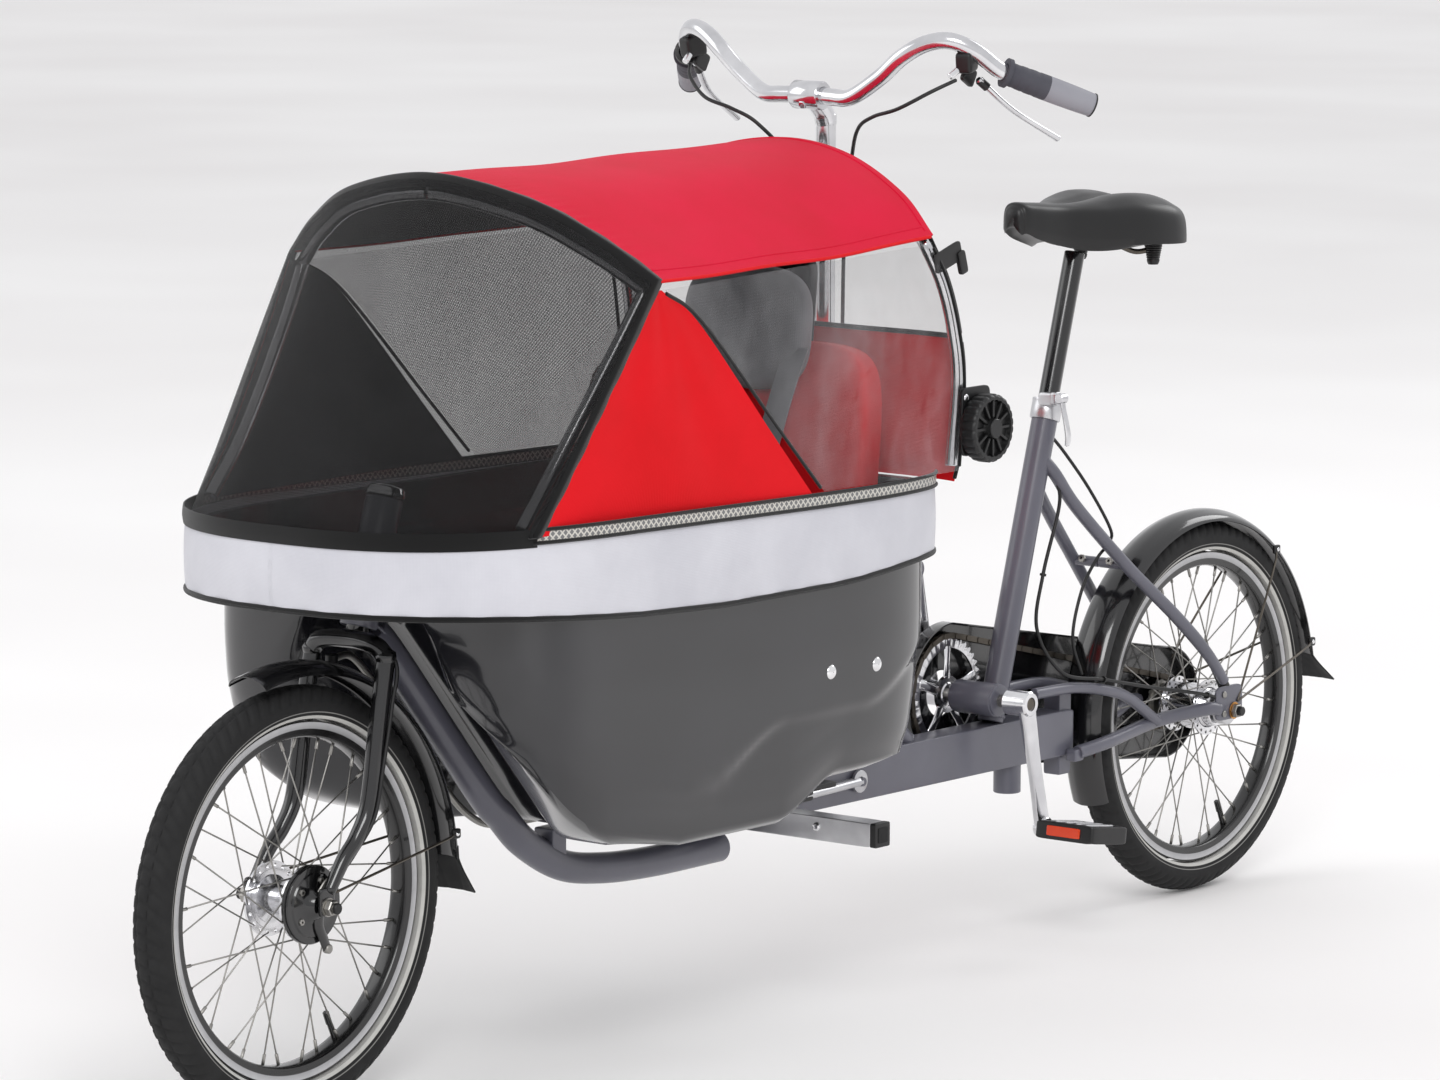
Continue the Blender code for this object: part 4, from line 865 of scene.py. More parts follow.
def makeCranks():
    y0, z0 = crankCentre
    for s, name, throw in ((1, "left", np.array([0, 37.6, -165.3])), (-1, "right", np.array([0, -37.6, 165.3]))):
        centre = np.array([s * 76, y0, z0])
        unit = throw / np.linalg.norm(throw)
        square = np.cross([1, 0, 0], unit)
        t = np.linspace(-0.03, 1.03, 60)
        width = np.interp(t, crankArm["widthAt"], crankArm["width"])
        thick = np.interp(t, crankArm["thickAt"], crankArm["thick"])
        a = np.linspace(0, 2 * np.pi, 32, endpoint=False)
        power = lambda w, e: np.sign(w) * np.abs(w) ** e
        grid = (centre + throw * t[:, None, None] + (power(np.cos(a), 0.5) * thick[:, None])[..., None] * [1, 0, 0]
             + (power(np.sin(a), 0.62) * width[:, None])[..., None] * square)
        parts = [(surface(grid, closeV=True, caps=True, flip=True), 0)]
        parts.append((turned(crankArm["boss"],
                             centre, (s, 0, 0), 48), 0))
        parts.append((turned([(4, 0.5), (4, 8.2), (6.3, 8.2), (7.2, 7), (7.2, 0.5)], centre, (s, 0, 0), 24), 1))
        end = centre + throw
        parts.append((bar(end - [s * 6.5, 0, 0], end + [s * 9, 0, 0], 13.4, 40, ends=1.5), 0))
        parts.append((bar(end, end + [s * 103.5, 0, 0], 5.2, 20), 1))
        parts.append((hexNut(*(end + [s * 12, 0, 0]), 3.0, 8.6, (s, 0, 0)), 1))
        addPiece("crankArm" + name.title(), parts, [polished, darkSteel], "crankset",
                 ["crank_" + name], sharp=35)


def makePedals():
    y0, z0 = crankCentre
    for s, name, throw in ((1, "left", (37.6, -165.3)), (-1, "right", (-37.6, 165.3))):
        y, z = y0 + throw[0], z0 + throw[1]
        x = s * 138
        tip = math.radians(-8)

        def place(dx, dy, dz):
            c, d = math.cos(tip), math.sin(tip)
            return (x + dx, y + dy * c - dz * d, z + dy * d + dz * c)

        parts = [(roundBlock(place(*at, 0), size, (tip, 0, 0), 0.2), 0) for at, size in
                 (((0, -35), (88, 10, 23)), ((0, 35), (88, 10, 23)), ((-40, 0), (10, 76, 22)),
                  ((40, 0), (10, 76, 22)))]
        parts.append((collar(-40, 40, 6.2, 10.5, place(0, 0, 0), (1, 0, 0), 24), 0))
        for dx in (-24, -8, 8, 24):
            for dz in (10.2, -10.2):
                parts.append((roundBlock(place(dx, 0, dz), (9.0, 62, 4.6), (tip, 0, 0), 0.2, 10, 24), 1))
        for sign in (-1, 1):
            parts.append((roundBlock(place(0, sign * 40.0, 0), (52, 2.8, 13), (tip, 0, 0), 0.15, 12, 24), 2))
        addPiece("platformPedal" + name.title(), parts, [blackPlastic, brushed, reflectorRed], "pedal_" + name[0],
                 ["pedal_" + name])


makeCranks()
makePedals()
print("drive ready")

# ---- handlebar

barHalf = [(0, 61, 1120), (40, 58, 1118), (70, 55, 1120), (110, 58, 1145), (140, 60, 1170), (170, 68, 1188),
           (200, 80, 1193), (225, 100, 1180), (245, 126, 1156)]
gripOut = np.array([316, 220, 1112.0])


controls = {"line": [(208, 84, 1146), (188, 60, 1132), (150, 42, 1110), (110, 44, 1098), (78, 56, 1080),
                    (50, 80, 1036), (33, 90, 960), (27, 94, 800), (27, 94, 716)],
            "shifter": [(-13, 11.4), (-13, 15.6), (-12, 16.4), (-2, 16.4), (-1, 15.6), (-1, 11.4)],
            "columnRing": [(-14, 12.6), (-14, 18), (-12.5, 19), (12.5, 19), (14, 18), (14, 12.6)],
            "clampRing": [(-21.6, 11.2), (-21.6, 16.5), (-20, 17.8), (20, 17.8), (21.6, 16.5), (21.6, 11.2)]}


def makeHandlebar():
    half = [np.array(p, float) for p in barHalf]
    last = half[-1]
    far = last + (gripOut - last) * 0.96
    right = [p * [-1, 1, 1] for p in half[:0:-1]]
    near = last + (far - last) * 0.4
    knots = [far * [-1, 1, 1], near * [-1, 1, 1]] + right + half + [near, far]
    parts = [(tube(even(spline(knots, 500), 260), 10.8, 36, (0, 0, 1)), 0)]
    for s in (1, -1):
        parts.append((roundBlock((s * 213.5, 97, 1168), (21, 30, 26), (math.radians(9), 0, s * 0.3), 0.3), 1))
        parts.append((roundBlock((s * 208.4, 108, 1150), (6.6, 24, 22), (math.radians(-30), 0, 0), 0.3), 1))
        parts.append((bar((s * 209, 84, 1158), (s * 206, 72, 1150), 4.4, 18), 2))
        parts.append((hexNut(s * 220, 88, 1176, 2.0, 4.0, (0, -0.9, 0.4)), 2))
    # The twist shifter with its barrel sits inside the right grip.
    turnAxis = (gripOut - last) * [-1, 1, 1]
    parts.append((turned(controls["shifter"],
                         last * [-1, 1, 1], turnAxis, 48), 1))
    addPiece("sweptHandlebar", parts, [polished, blackPlastic, chrome], "steering", ["handlebar"])
    parts = [bar((0, 94, 287), (0, 94, 1090), 12.4, 36), bar((0, 94, 1078), (0, 94, 1096), 13.2, 36, ends=3),
             tube(through([(0, 94, 1084), (0, 86, 1098), (0, 66, 1116)], 24), np.linspace(13.6, 13, 24), 30),
             turned(controls["clampRing"], (0, 60, 1119),
                    (1, 0, 0), 48),
             turned(controls["columnRing"], (0, 94, 716), (0, 0, 1)),
             roundBlock((-36, 120, 291), (65.6, 15.8, 6.8), sharpness=0.2),
             roundBlock((-12, 107, 291), (19.8, 39.6, 6.8), sharpness=0.2),
             roundBlock((-60, 126, 291), (17.8, 31.6, 6.8), sharpness=0.3),
             hexNut(0, 46.5, 1108, 2.5, 5.5, (0, -1, -0.5))]
    addPiece("steeringColumn", parts, polished, "steering", ["steering_column"])
    for name, s in (("left", 1), ("right", -1)):
        start = last + (gripOut - last) * 0.03
        axis = (gripOut - start) * [s, 1, 1]
        gripLength = np.linalg.norm(axis)
        t = np.linspace(0, 1, 90)
        body = 14.2 + 1.5 * np.sin(np.pi * np.clip(t, 0, 1)) ** 0.7 - 0.35 * (np.sin(t * 60) > 0.3) * (t < 0.42)
        body = np.where(t < 0.05, 18.4, body)
        outer = [(gripLength * a, b) for a, b in zip(t, body)] + [(gripLength * 1.0, 12.0)]
        split = 42
        first = [(0.2, 11.4)] + outer[:split + 1] + [(outer[split][0], 11.4)]
        second = [(outer[split][0], 11.4)] + outer[split:-2] + [(gripLength * 0.975, 11.4)]
        cap = [(gripLength * k, r) for k, r in ((0.978, 2), (0.978, 15.2), (0.99, 15.2), (1, 13), (1, 2))]
        at0 = start * [s, 1, 1]
        parts = [(turned(first, at0, axis, 48), 0), (turned(second, at0, axis, 48), 1),
                 (turned(cap, at0, axis, 48), 2)]
        addPiece("handGrip" + name.title(), parts, [gripDark, gripLight, blackPlastic], "steering",
                 ["grip_" + name], sharp=50)
        pivot, mid, tip = (220, 112, 1146), (238, 160, 1106), (252, 236, 1067)
        path = through([np.array(p) * [s, 1, 1] for p in (pivot, mid, tip)], 60)
        width = np.interp(np.linspace(0, 1, 60), [0, 0.15, 0.5, 0.94, 1], [5.6, 4.9, 4.6, 5.0, 5.4])
        parts = [(tube(path, width, 24, (0, 0.4, 1), squash=0.78, ends=1.5), 0),
                 (tube(through([np.array(pivot) * [s, 1, 1] + [0, 1, -1], path[7]], 12), 5.6, 20, (0, 0.4, 1),
                       ends=2), 1)]
        addPiece("brakeBlade" + name.title(), parts, [polished, blackPlastic], "lever_" + name[0],
                 ["brake_lever_" + name])
        parts = [tube(through([np.array(p) * [s, 1, 1] for p in controls["line"]], 140), 2.4, 14, (0, 0.3, 1))]
        addPiece("brakeCable" + name.title(), parts, blackPlastic, "steering", ["cable_" + name])


makeHandlebar()
print("handlebar ready")

# ---- seat

saddle = {"rows": [(491, 936, 15, 15), (497, 941, 20, 18), (520, 942, 26, 26), (570, 942, 38, 36),
                  (620, 945, 66, 45), (670, 951, 91, 51), (715, 949, 99, 51), (745, 940, 94, 43), (758, 933, 82, 32),
                  (764, 926, 60, 16)]}


def saddleTop():
    # Rows of half sections: y, height, half width, edge drop, joined smoothly and mirrored; a groove in the middle.
    rows = np.array(saddle["rows"],
                    float)
    s = spline(rows, 110)
    u = np.linspace(-1, 1, 61)
    top, under = [], []
    for y, z, half, drop in s:
        a = u * math.pi / 2
        x = half * np.sign(np.sin(a)) * np.abs(np.sin(a)) ** 0.9
        # Twin cushions lift either side of the groove toward the tail.
        rear = np.clip((y - 590) / 90, 0, 1)
        lift = 24 * np.cos(a) ** 0.65 + rear * 5 * np.sin(np.clip(np.abs(u) * 1.7, 0, 1) * np.pi) ** 2
        groove = 7.5 * np.exp(-(x / 9.5) ** 2) * np.clip((y - 560) / 50, 0, 1) * np.clip((764 - y) / 25, 0, 1)
        crest = z - drop * 0.35 + lift * 0.9 - groove - drop * 0.75 * np.abs(u) ** 6
        belly = np.full(61, z - drop * (1.32 - 0.24 * rear)) - 2 + 10 * np.cos(a[::-1])
        top.append(np.column_stack([x, np.full(61, y), crest]))
        under.append(np.column_stack([x[::-1] * 0.9, np.full(61, y), belly]))
    loop = np.concatenate([np.array(top), np.array(under)[:, 2:-2]], 1)
    first, last = ((ring.max(0) + ring.min(0)) / 2 for ring in (loop[0], loop[-1]))
    nose = [first + (loop[0] - first) * f + [0, -d, 0] for f,
            d in ((0.35, 6.5), (0.62, 5.4), (0.82, 3.6), (0.95, 1.6))]
    tail = [last + (loop[-1] - last) * f + [0, d, 0] for f, d in ((0.96, 1.4), (0.85, 3.0), (0.6, 4.2))]
    loop = np.concatenate([nose, loop, tail])
    return surface(loop, closeV=True, caps=True, flip=True)


underSaddle = {"rail": [(10, 548, 914), (16, 575, 904), (22, 620, 894), (24, 670, 894), (40, 705, 880),
                       (58, 722, 884)]}


def makeSeat():
    parts = [(saddleTop(), 0)]
    for s in (-1, 1):
        cone = [(0, 1), (0, 6.5), (3, 8)] + [(6 + k * 1.5, 8.6 + k * 0.28 - 0.9 * (k % 2)) for k in range(20)]
        parts.append((turned(cone + [(37, 14.2), (44, 14.2), (44, 1)], (s * 58, 722, 863), (0, 0, 1), 36), 1))
        parts.append((tube(through(np.array(underSaddle["rail"]) * [s, 1, 1], 50), 3.6, 14), 2))
    parts.append((bar((0, 632, 892.5), (0, 632, 906), 19.8, 32), 1))
    parts.append((roundBlock((0, 632, 897), (56, 34, 15), sharpness=0.3), 1))
    parts.append((bar((-31, 632, 897), (31, 632, 897), 5.2, 18), 2))
    addPiece("sprungSaddle", parts, [saddleSkin, blackPlastic, darkSteel], "seat", ["saddle"],
             sharp=60)
    top, along = seatAxis
    parts = [(bar(top - along * 150, top + along * 190, 13.5, 36), 0)]
    addPiece("glossSeatpost", parts, [blackPaint], "seat", ["seatpost"])


makeSeat()
print("saddle ready")

# ---- tub

def ease(t):
    # A smooth step from 0 to 1: 3t^2 - 2t^3.
    t = np.clip(t, 0, 1)
    return t * t * (3 - 2 * t)


def outline(turn, half, front, rear, nosePower):
    # A superellipse in plan: rounder at the nose, squarer at the tail.
    s, c = np.sin(turn), np.cos(turn)
    power = np.where(c > 0, 2 / nosePower, 2 / 9.0)
    reach = np.where(c > 0, -600 - front, rear + 600)
    return half * np.sign(s) * np.abs(s) ** power, -600 - reach * np.sign(c) * np.abs(c) ** power


def underside(x, y):
    # The higher of two lobes, a sloping tent and a wheel tunnel, blended as the log of a sum of exponentials.
    lobes = 281 + 43 * ease((y + 300) / 120) + 0.0018 * np.maximum(0, -500 - y) ** 2
    crest = 556 - 1.12 * np.maximum(0, y + 735)
    tent = crest - 0.72 * np.abs(x)
    tunnel = crest + 10 - 2.2 * np.maximum(0, np.abs(x) - 74)
    k = 7.0
    return k * np.log(np.exp((lobes - 400) / k) + np.exp((tent - 400) / k) + np.exp((tunnel - 400) / k)) + 400


def evenTurns(count, half, front, rear, nosePower):
    # Turns of the outline whose points are evenly spaced along it.
    w = np.linspace(0, 1, 900)
    quarter = np.arcsin(w ** 4)
    dense = np.concatenate([quarter, np.pi - quarter[::-1][1:], np.pi + quarter[1:], 2 * np.pi - quarter[::-1][1:-1]])
    x, y = outline(dense, half, front, rear, nosePower)
    run = np.concatenate([[0], np.cumsum(np.hypot(np.diff(x), np.diff(y)))])
    return np.interp(np.linspace(0, run[-1], count, endpoint=False), run, dense)


# Outlines in plan are half width, front, rear and roundness of the nose.
tub = {"rim": (268, -925, 25, 2.6), "wall": (258, -780, 19, 6.0), "thickness": 5}


def tubShell(inset, turn):
    # Rows from the rim down the wall and across the floor; the inner wall is the same rows with an inset.
    top, low = (outline(turn, half - inset, front + inset, rear - inset, nosePower)
                for half, front, rear, nosePower in (tub["rim"], tub["wall"]))
    edge = underside(low[0] * 0.88, -380 + (low[1] + 380) * 0.94) + 8
    rows = [np.column_stack([*top, np.full(len(turn), z)]) for z in (662 - inset * 0.3, 640, 622, 608 + inset,
                                                                     604 + inset)]
    # The ledge turns down into the wall with a soft corner.
    for share, drop in ((0.06, 0.5), (0.3, 4), (0.6, 10), (0.85, 17), (0.95, 21)):
        x = top[0] + (low[0] - top[0]) * share
        y = top[1] + (low[1] - top[1]) * share
        rows.append(np.column_stack([x, y, 603 + inset - drop + 0 * x]))
    shares = np.linspace(0, 1, 56)
    scales = np.interp(shares, [0, 0.35, 0.65, 0.86, 1], [1, 1, 0.99, 0.965, 0.91])
    scales = np.convolve(np.pad(scales, 4, mode="edge"), np.ones(9) / 9, "valid")
    scales[0] = 1
    for share, scale in zip(shares, scales):
        z = 578 + inset + (edge - 578) * share
        x, y = low[0] * scale, -380 + (low[1] + 380) * (0.5 + scale / 2)
        # A pressed crease: below a slanting line the wall steps in a little.
        line = 418 + 62 * ease((y + 150) / 170) - 95 * ease((-300 - y) / 220)
        step = 5.0 * ease((line - z) / 20) * ease((share + 0.02) * 2) * (1 - ease((share - 0.75) / 0.25))
        step = step * ease((np.abs(x) - 150) / 60)
        rows.append(np.column_stack([x - np.sign(x) * step, y, z]))
    for scale in np.linspace(0.88, 0.04, 26):
        x, y = low[0] * scale, -380 + (low[1] + 380) * scale
        rows.append(np.column_stack([x, y, underside(x, y) + inset]))
    return rows


def wallAt(y, z):
    # Half width of the finished wall at that place.
    turn = np.linspace(math.pi * 0.3, math.pi * 0.95, 400)
    rows = np.stack(tubShell(0, turn)[10:60]).reshape(-1, 3)
    near = np.argsort(np.hypot(rows[:, 1] - y, rows[:, 2] - z))[:4]
    return float(rows[near, 0].mean())


tubBolts = {"places": ((-224, 458), (-131, 456)),
            "head": [(-6, 0.5), (-6, 5), (-0.6, 5), (-0.6, 9), (0.8, 8.6), (2.4, 6), (2.9, 0.5)]}


def makeTub():
    turn = evenTurns(300, *tub["wall"])
    rows = tubShell(tub["thickness"], turn)[::-1] + tubShell(0, turn)
    grid = np.stack(rows, 0)
    parts = [(surface(grid, closeV=True, caps=True), 0)]
    for y, z in tubBolts["places"]:
        for s in (-1, 1):
            parts.append((turned(tubBolts["head"],
                                 (s * wallAt(y, z), y, z), (s, 0, 0), 28), 1))
    addPiece("roundedTubShell", parts, [tubPlastic, chrome], "frame", ["tub"], sharp=50)


def area(grid):
    # Two triangles to each cell, in square metres.
    a, b, c, d = grid[:-1, :-1], grid[1:, :-1], grid[1:, 1:], grid[:-1, 1:]
    return float((np.linalg.norm(np.cross(b - a, c - a), axis=2)
                  + np.linalg.norm(np.cross(c - a, d - a), axis=2)).sum()
                 * 0.5e-6)


def offset(grid, by):
    # The surface moved along its own normals.
    normal = np.cross(np.gradient(grid, axis=0), np.gradient(grid, axis=1))
    normal /= np.maximum(np.linalg.norm(normal, axis=2), 1e-9)[..., None]
    return grid + normal * by


skirt = {"plan": (271.5, -929, 29, 2.6), "cloth": 1.6, "hem": (3.6, 2.2)}


def makeSkirt():
    turn = evenTurns(420, *skirt["plan"])
    x, y = outline(turn, *skirt["plan"])
    lower = 590 - 24 * ease((y + 930) / 500) + 14 * ease((y + 250) / 270)
    upper = 672 - 10 * ease((y + 780) / 700)
    w = np.linspace(0, 1, 24)[None, :]
    run = np.concatenate([[0], np.cumsum(np.hypot(np.diff(x), np.diff(y)))])[:, None]
    # The cloth puckers along the bottom cord and bellies out a little between the hems.
    pucker = 0.9 * np.sin(run / 9.5) * w ** 3 + 1.3 * np.sin(run / 47 + 1.2) * np.sin(np.pi * w)
    belly = 2.6 * np.sin(np.pi * w) + pucker
    centre = np.array([0, -450.0])
    out = np.column_stack([x, y]) - centre
    out /= np.linalg.norm(out, axis=1)[:, None]
    grid = np.stack([x[:, None] + out[:, :1] * belly, y[:, None] + out[:, 1:] * belly,
                  upper[:, None] + (lower - upper)[:, None] * w], -1)
    piece = addPiece("silverSkirtBand", [skin(grid, skirt["cloth"], closeU=True)], silverCloth, "frame",
                     ["skirt"],
                     sharp=60)
    # Black binding along the bottom hem, the nose band above, and the reflective strip with its piping.
    hem = np.column_stack([x, y, lower]) + np.column_stack([out * 0.6, np.zeros(len(x))])
    loop = tubeLoop(hem, *skirt["hem"])
    addPiece("skirtHemBinding", [loop], blackCloth, "frame", sharp=60)
    front = np.abs((turn + np.pi) % (2 * np.pi) - np.pi) < math.radians(66)
    keep = np.concatenate([np.where(front & (turn > np.pi))[0], np.where(front & (turn <= np.pi))[0]])
    v = np.linspace(0, 1, 10)[None, :]
    fx, fy, fo, fu = x[keep], y[keep], out[keep], upper[keep]
    bulge = 2.2 + 1.4 * np.sin(np.pi * v)
    band = np.stack([fx[:, None] + fo[:, :1] * bulge, fy[:, None] + fo[:, 1:] * bulge,
                     (fu - 6)[:, None] + 21 * v], -1)
    addPiece("noseRimBinding", [skin(band, -1.6)], blackCloth, "frame", sharp=60)
    for name, s in (("Left", 1), ("Right", -1)):
        side = (np.sin(turn) * s > 0) & (np.abs((turn + np.pi) % (2 * np.pi) - np.pi) > math.radians(64)) & (y < 8)
        keep = np.where(side)[0]
        sx, sy, so, su = x[keep], y[keep], out[keep], upper[keep]
        bulge = 1.9 + 0.5 * np.sin(np.pi * v)
        strip = np.stack([sx[:, None] + so[:, :1] * bulge, sy[:, None] + so[:, 1:] * bulge,
                          (su - 1)[:, None] + 15 * v], -1)
        parts = [(skin(strip, -0.9), 0)]
        for k in (0, -1):
            parts.append((tube(strip[:, k] + [s * 0.4, 0, 0], 2.3, 12, (0, 0, 1)), 1))
        addPiece("reflectiveStrip" + name, parts, [reflectiveTape, blackCloth], "frame", sharp=60)


def tubeLoop(path, wide, thick):
    # An oval section carried along a closed path.
    tangent = np.roll(path, -1, 0) - np.roll(path, 1, 0)
    tangent /= np.linalg.norm(tangent, axis=1)[:, None]
    side = np.cross(tangent, [0, 0, 1.0])
    a = np.linspace(0, 2 * np.pi, 12, endpoint=False)
    grid = path[:, None] + side[:, None] * (np.cos(a) * thick)[:,
                                                               None] + np.array([0, 0, 1.0]) * (np.sin(a) * wide)[:,
                                                                                                                  None]
    return surface(grid, closeU=True, closeV=True)


makeTub()
makeSkirt()
print("tub ready")

# ---- canopy

# Half of each arch, leg and top apart, and the seam between a side panel and its window.
canopy = {"frontLeg": [(257, -776, 678), (260, -717, 753), (271, -632, 880), (279, -585, 956)],
          "frontTop": [(279, -585, 956), (218, -613, 1001), (133, -641, 1043), (0, -657, 1066)],
          "rearLeg": [(270, 16, 678), (270, 28, 783), (268, 20, 851), (262, 4, 912), (245, -12, 965)],
          "rearTop": [(245, -12, 965), (190, 0, 1012), (99, 14, 1053), (0, 20, 1068)],
          "divide": [(276, -573, 944), (275, -497, 901), (273, -346, 759), (272, -262, 680)]}



def halfToWhole(half):
    # A half curve and its mirror image in X.
    return np.vstack([half, half[-2::-1] * [-1, 1, 1]])


def wholeArch(leg, top, by=0.0, count=160):
    # Legs and top are separate curves, so that the shoulders keep their corner and the crown stays smooth.
    side = spline(leg, 80)
    half = np.vstack([side[:-1], spline(halfToWhole(np.array(top, float)), 161), (side * [-1, 1, 1])[-2::-1]])
    toward = np.column_stack([0 * half[:, 0], half[:, 1], 0 * half[:, 0] + 760]) - half
    half = half + toward / np.linalg.norm(toward, axis=1)[:, None] * by
    return even(half, count)


def ruled(a, b, v):
    # Straight lines between two curves, read at shares v.
    return a[:, None] * (1 - v)[None, :, None] + b[:, None] * v[None, :, None]


def lined(name, grid, outer, inner, node, sign=1):
    # Outer cloth and its dark backing, two thin sheets lying together.
    piece = addPiece(name, [skin(offset(grid, 0.35 * sign), 0.75 * sign)], outer, "frame", node, sharp=60)
    backing = addPiece(name + "Lining", [skin(offset(grid, -0.35 * sign), -0.6 * sign)], inner, "frame",
                       sharp=60)
    return piece


def makeCanopy():
    fore = spline(halfToWhole(np.array(canopy["frontTop"], float)), 141)
    aft = spline(halfToWhole(np.array(canopy["rearTop"], float)), 141)
    fore, aft = even(fore, 150), even(aft, 150)
    v = np.linspace(0, 1, 110)
    grid = ruled(fore, aft, v)
    u = np.linspace(0, 1, 150)[:, None]
    hang = np.sin(np.pi * v)[None, :]
    # The cloth sags between the hoops, with slack waves and short gathers beside the front seam.
    grid[..., 2] -= hang * (5 + 3 * np.sin(5.2 * u * np.pi))
    grid[..., 2] += ripple(grid, 75, 2.4, 0.7) * hang
    grid[..., 2] += 1.1 * np.sin(u * 260) * np.exp(-v[None, :] * 26)
    # The roof panel takes the crimson-tinted copy of the red cloth, whose tint is painted roof light.
    lined("redRoofPanel", grid, redClothPaintedRoofLight, linerCloth, ["canopy_roof"],
          -1)
    # Flat felled seams down both sides of the roof, and a hem over the rear hoop.
    seams = [tube(grid[4, 2:-2] + [0, 0, 0.9], 1.5, 8, (0, 0, 1)),
             tube(grid[-5, 2:-2] + [0, 0, 0.9], 1.5, 8, (0, 0, 1)),
             tube(grid[2:-2, -3] + [0, 0, 0.9], 1.6, 8, (0, 1, 0))]
    # The roof seams take the same crimson-tinted copy, with its painted roof light.
    addPiece("roofSeams", seams, redClothPaintedRoofLight, "frame", sharp=60)
    leg, back = even(spline(canopy["frontLeg"], 200), 110), even(spline(canopy["rearLeg"], 200), 110)
    dividing = even(spline(canopy["divide"], 200), 110)[::-1]
    for name, s in (("Left", 1), ("Right", -1)):
        t = np.linspace(0, 0.965, 110) * 109
        low = np.array([np.interp(t, np.arange(110), leg[:, k]) for k in range(3)]).T
        rear = np.array([np.interp(t, np.arange(110), back[:, k]) for k in range(3)]).T
        red = ruled(low, dividing, np.linspace(0.008, 0.958, 60))
        # Pulled folds run from the upper corner toward the rim.
        w = np.linspace(0, 1, 110)[:, None]
        c = np.linspace(0, 1, 60)[None, :]
        red[..., 0] += (1.8 * np.sin(c * 15 + w * 4) * np.sin(np.pi * w) * np.sin(np.pi * c)
                        + 2.4 * np.exp(-((c - 0.55) / 0.08) ** 2) * np.sin(np.pi * w))
        film = ruled(dividing, rear, np.linspace(0.012, 0.982, 90))
        slack = np.sin(np.pi * np.linspace(0, 1, 110))[:, None] ** 0.5 * np.sin(np.pi * np.linspace(0, 1, 90))[None,
                                                                                                               :] ** .5
        film[..., 0] += ripple(film, 42, 5.0, 2.0) * slack + ripple(film, 15, 2.4, 1.0) * slack - 2.0 * slack
        flipped = np.array([s, 1, 1.0])
        lined("redSidePanel" + name, red * flipped, redCloth, linerCloth,
              ["side_panel_" + name.lower()],
              -s)
        piece = addPiece("clearSideWindow" + name, [skin(film * flipped, 0.7)], vinylFilm, "frame",
                         ["side_window_" + name.lower()], sharp=60)
        edge = (dividing + [1.2, 0, 0]) * flipped
        top = grid[0 if s > 0 else -1] + [s * 0.8, 0, -1]
        parts = [tube(edge[2:-2], 2.4, 10, squash=0.6), tube(film[2:-2, -1] * flipped, 2.6, 10, squash=0.7)]
        addPiece("windowPiping" + name, parts, blackCloth, "frame", sharp=60)
        addPiece("roofEdgePiping" + name, [tube(top[1:-1], 2.2, 10, (0, 0, 1))], redCloth, "frame",
                 sharp=60)
    whole = wholeArch(canopy["frontLeg"], canopy["frontTop"])
    share = np.linspace(0, 1, len(whole))
    turn = math.radians(62) * np.sign(1 - 2 * share) * np.abs(1 - 2 * share) ** 0.9
    nx, ny = outline(turn, 266, -922, 25, 2.6)
    foot = np.column_stack([nx, ny, np.full(len(turn), 676.0)])
    screen = ruled(whole + [0, -5, 0], foot, np.linspace(0.01, 0.995, 90))
    bow = np.sin(np.pi * np.linspace(0, 1, 90))[None, :]
    screen += (np.array([0, -1.0, 0.6]) * (bow * (2.5 * np.sin(np.pi * share)[:, None]
                                                  + 0.9 * np.sin(share[:, None] * 44)))[..., None])
    piece = addPiece("meshFrontScreen", [skin(screen, 0.7)], screenCloth, "frame", ["front_screen"],
                     sharp=60)
    # A broad black band covers the front hoop's seam.
    away = whole - np.column_stack([0 * share, whole[:, 1], 0 * share + 760])
    away /= np.linalg.norm(away, axis=1)[:, None]
    forward = foot - whole
    forward /= np.linalg.norm(forward, axis=1)[:, None]
    w = np.linspace(-1, 1, 15)
    rearward = np.array([0, 1.0, 0]) - away * (away @ [0, 1.0, 0])[:, None]
    rearward /= np.linalg.norm(rearward, axis=1)[:, None]
    band = (whole[:, None] + forward[:, None] * (np.maximum(-w, 0) * 15)[None, :, None]
            + rearward[:, None] * (np.maximum(w, 0) * 11)[None, :, None]
            + away[:, None] * (0.4 + 2.2 * np.cos(w * np.pi / 2))[None, :, None]
            + np.array([0, -1.0, 0]) * (np.maximum(-w, 0) * 2.0)[None, :, None])
    band += away[:, None] * (0.6 * np.sin(share * 160))[:, None, None] * (np.abs(w) ** 2)[None, :, None]
    addPiece("hoopBinding", [skin(band, -1.2)], blackCloth, "frame", sharp=60)
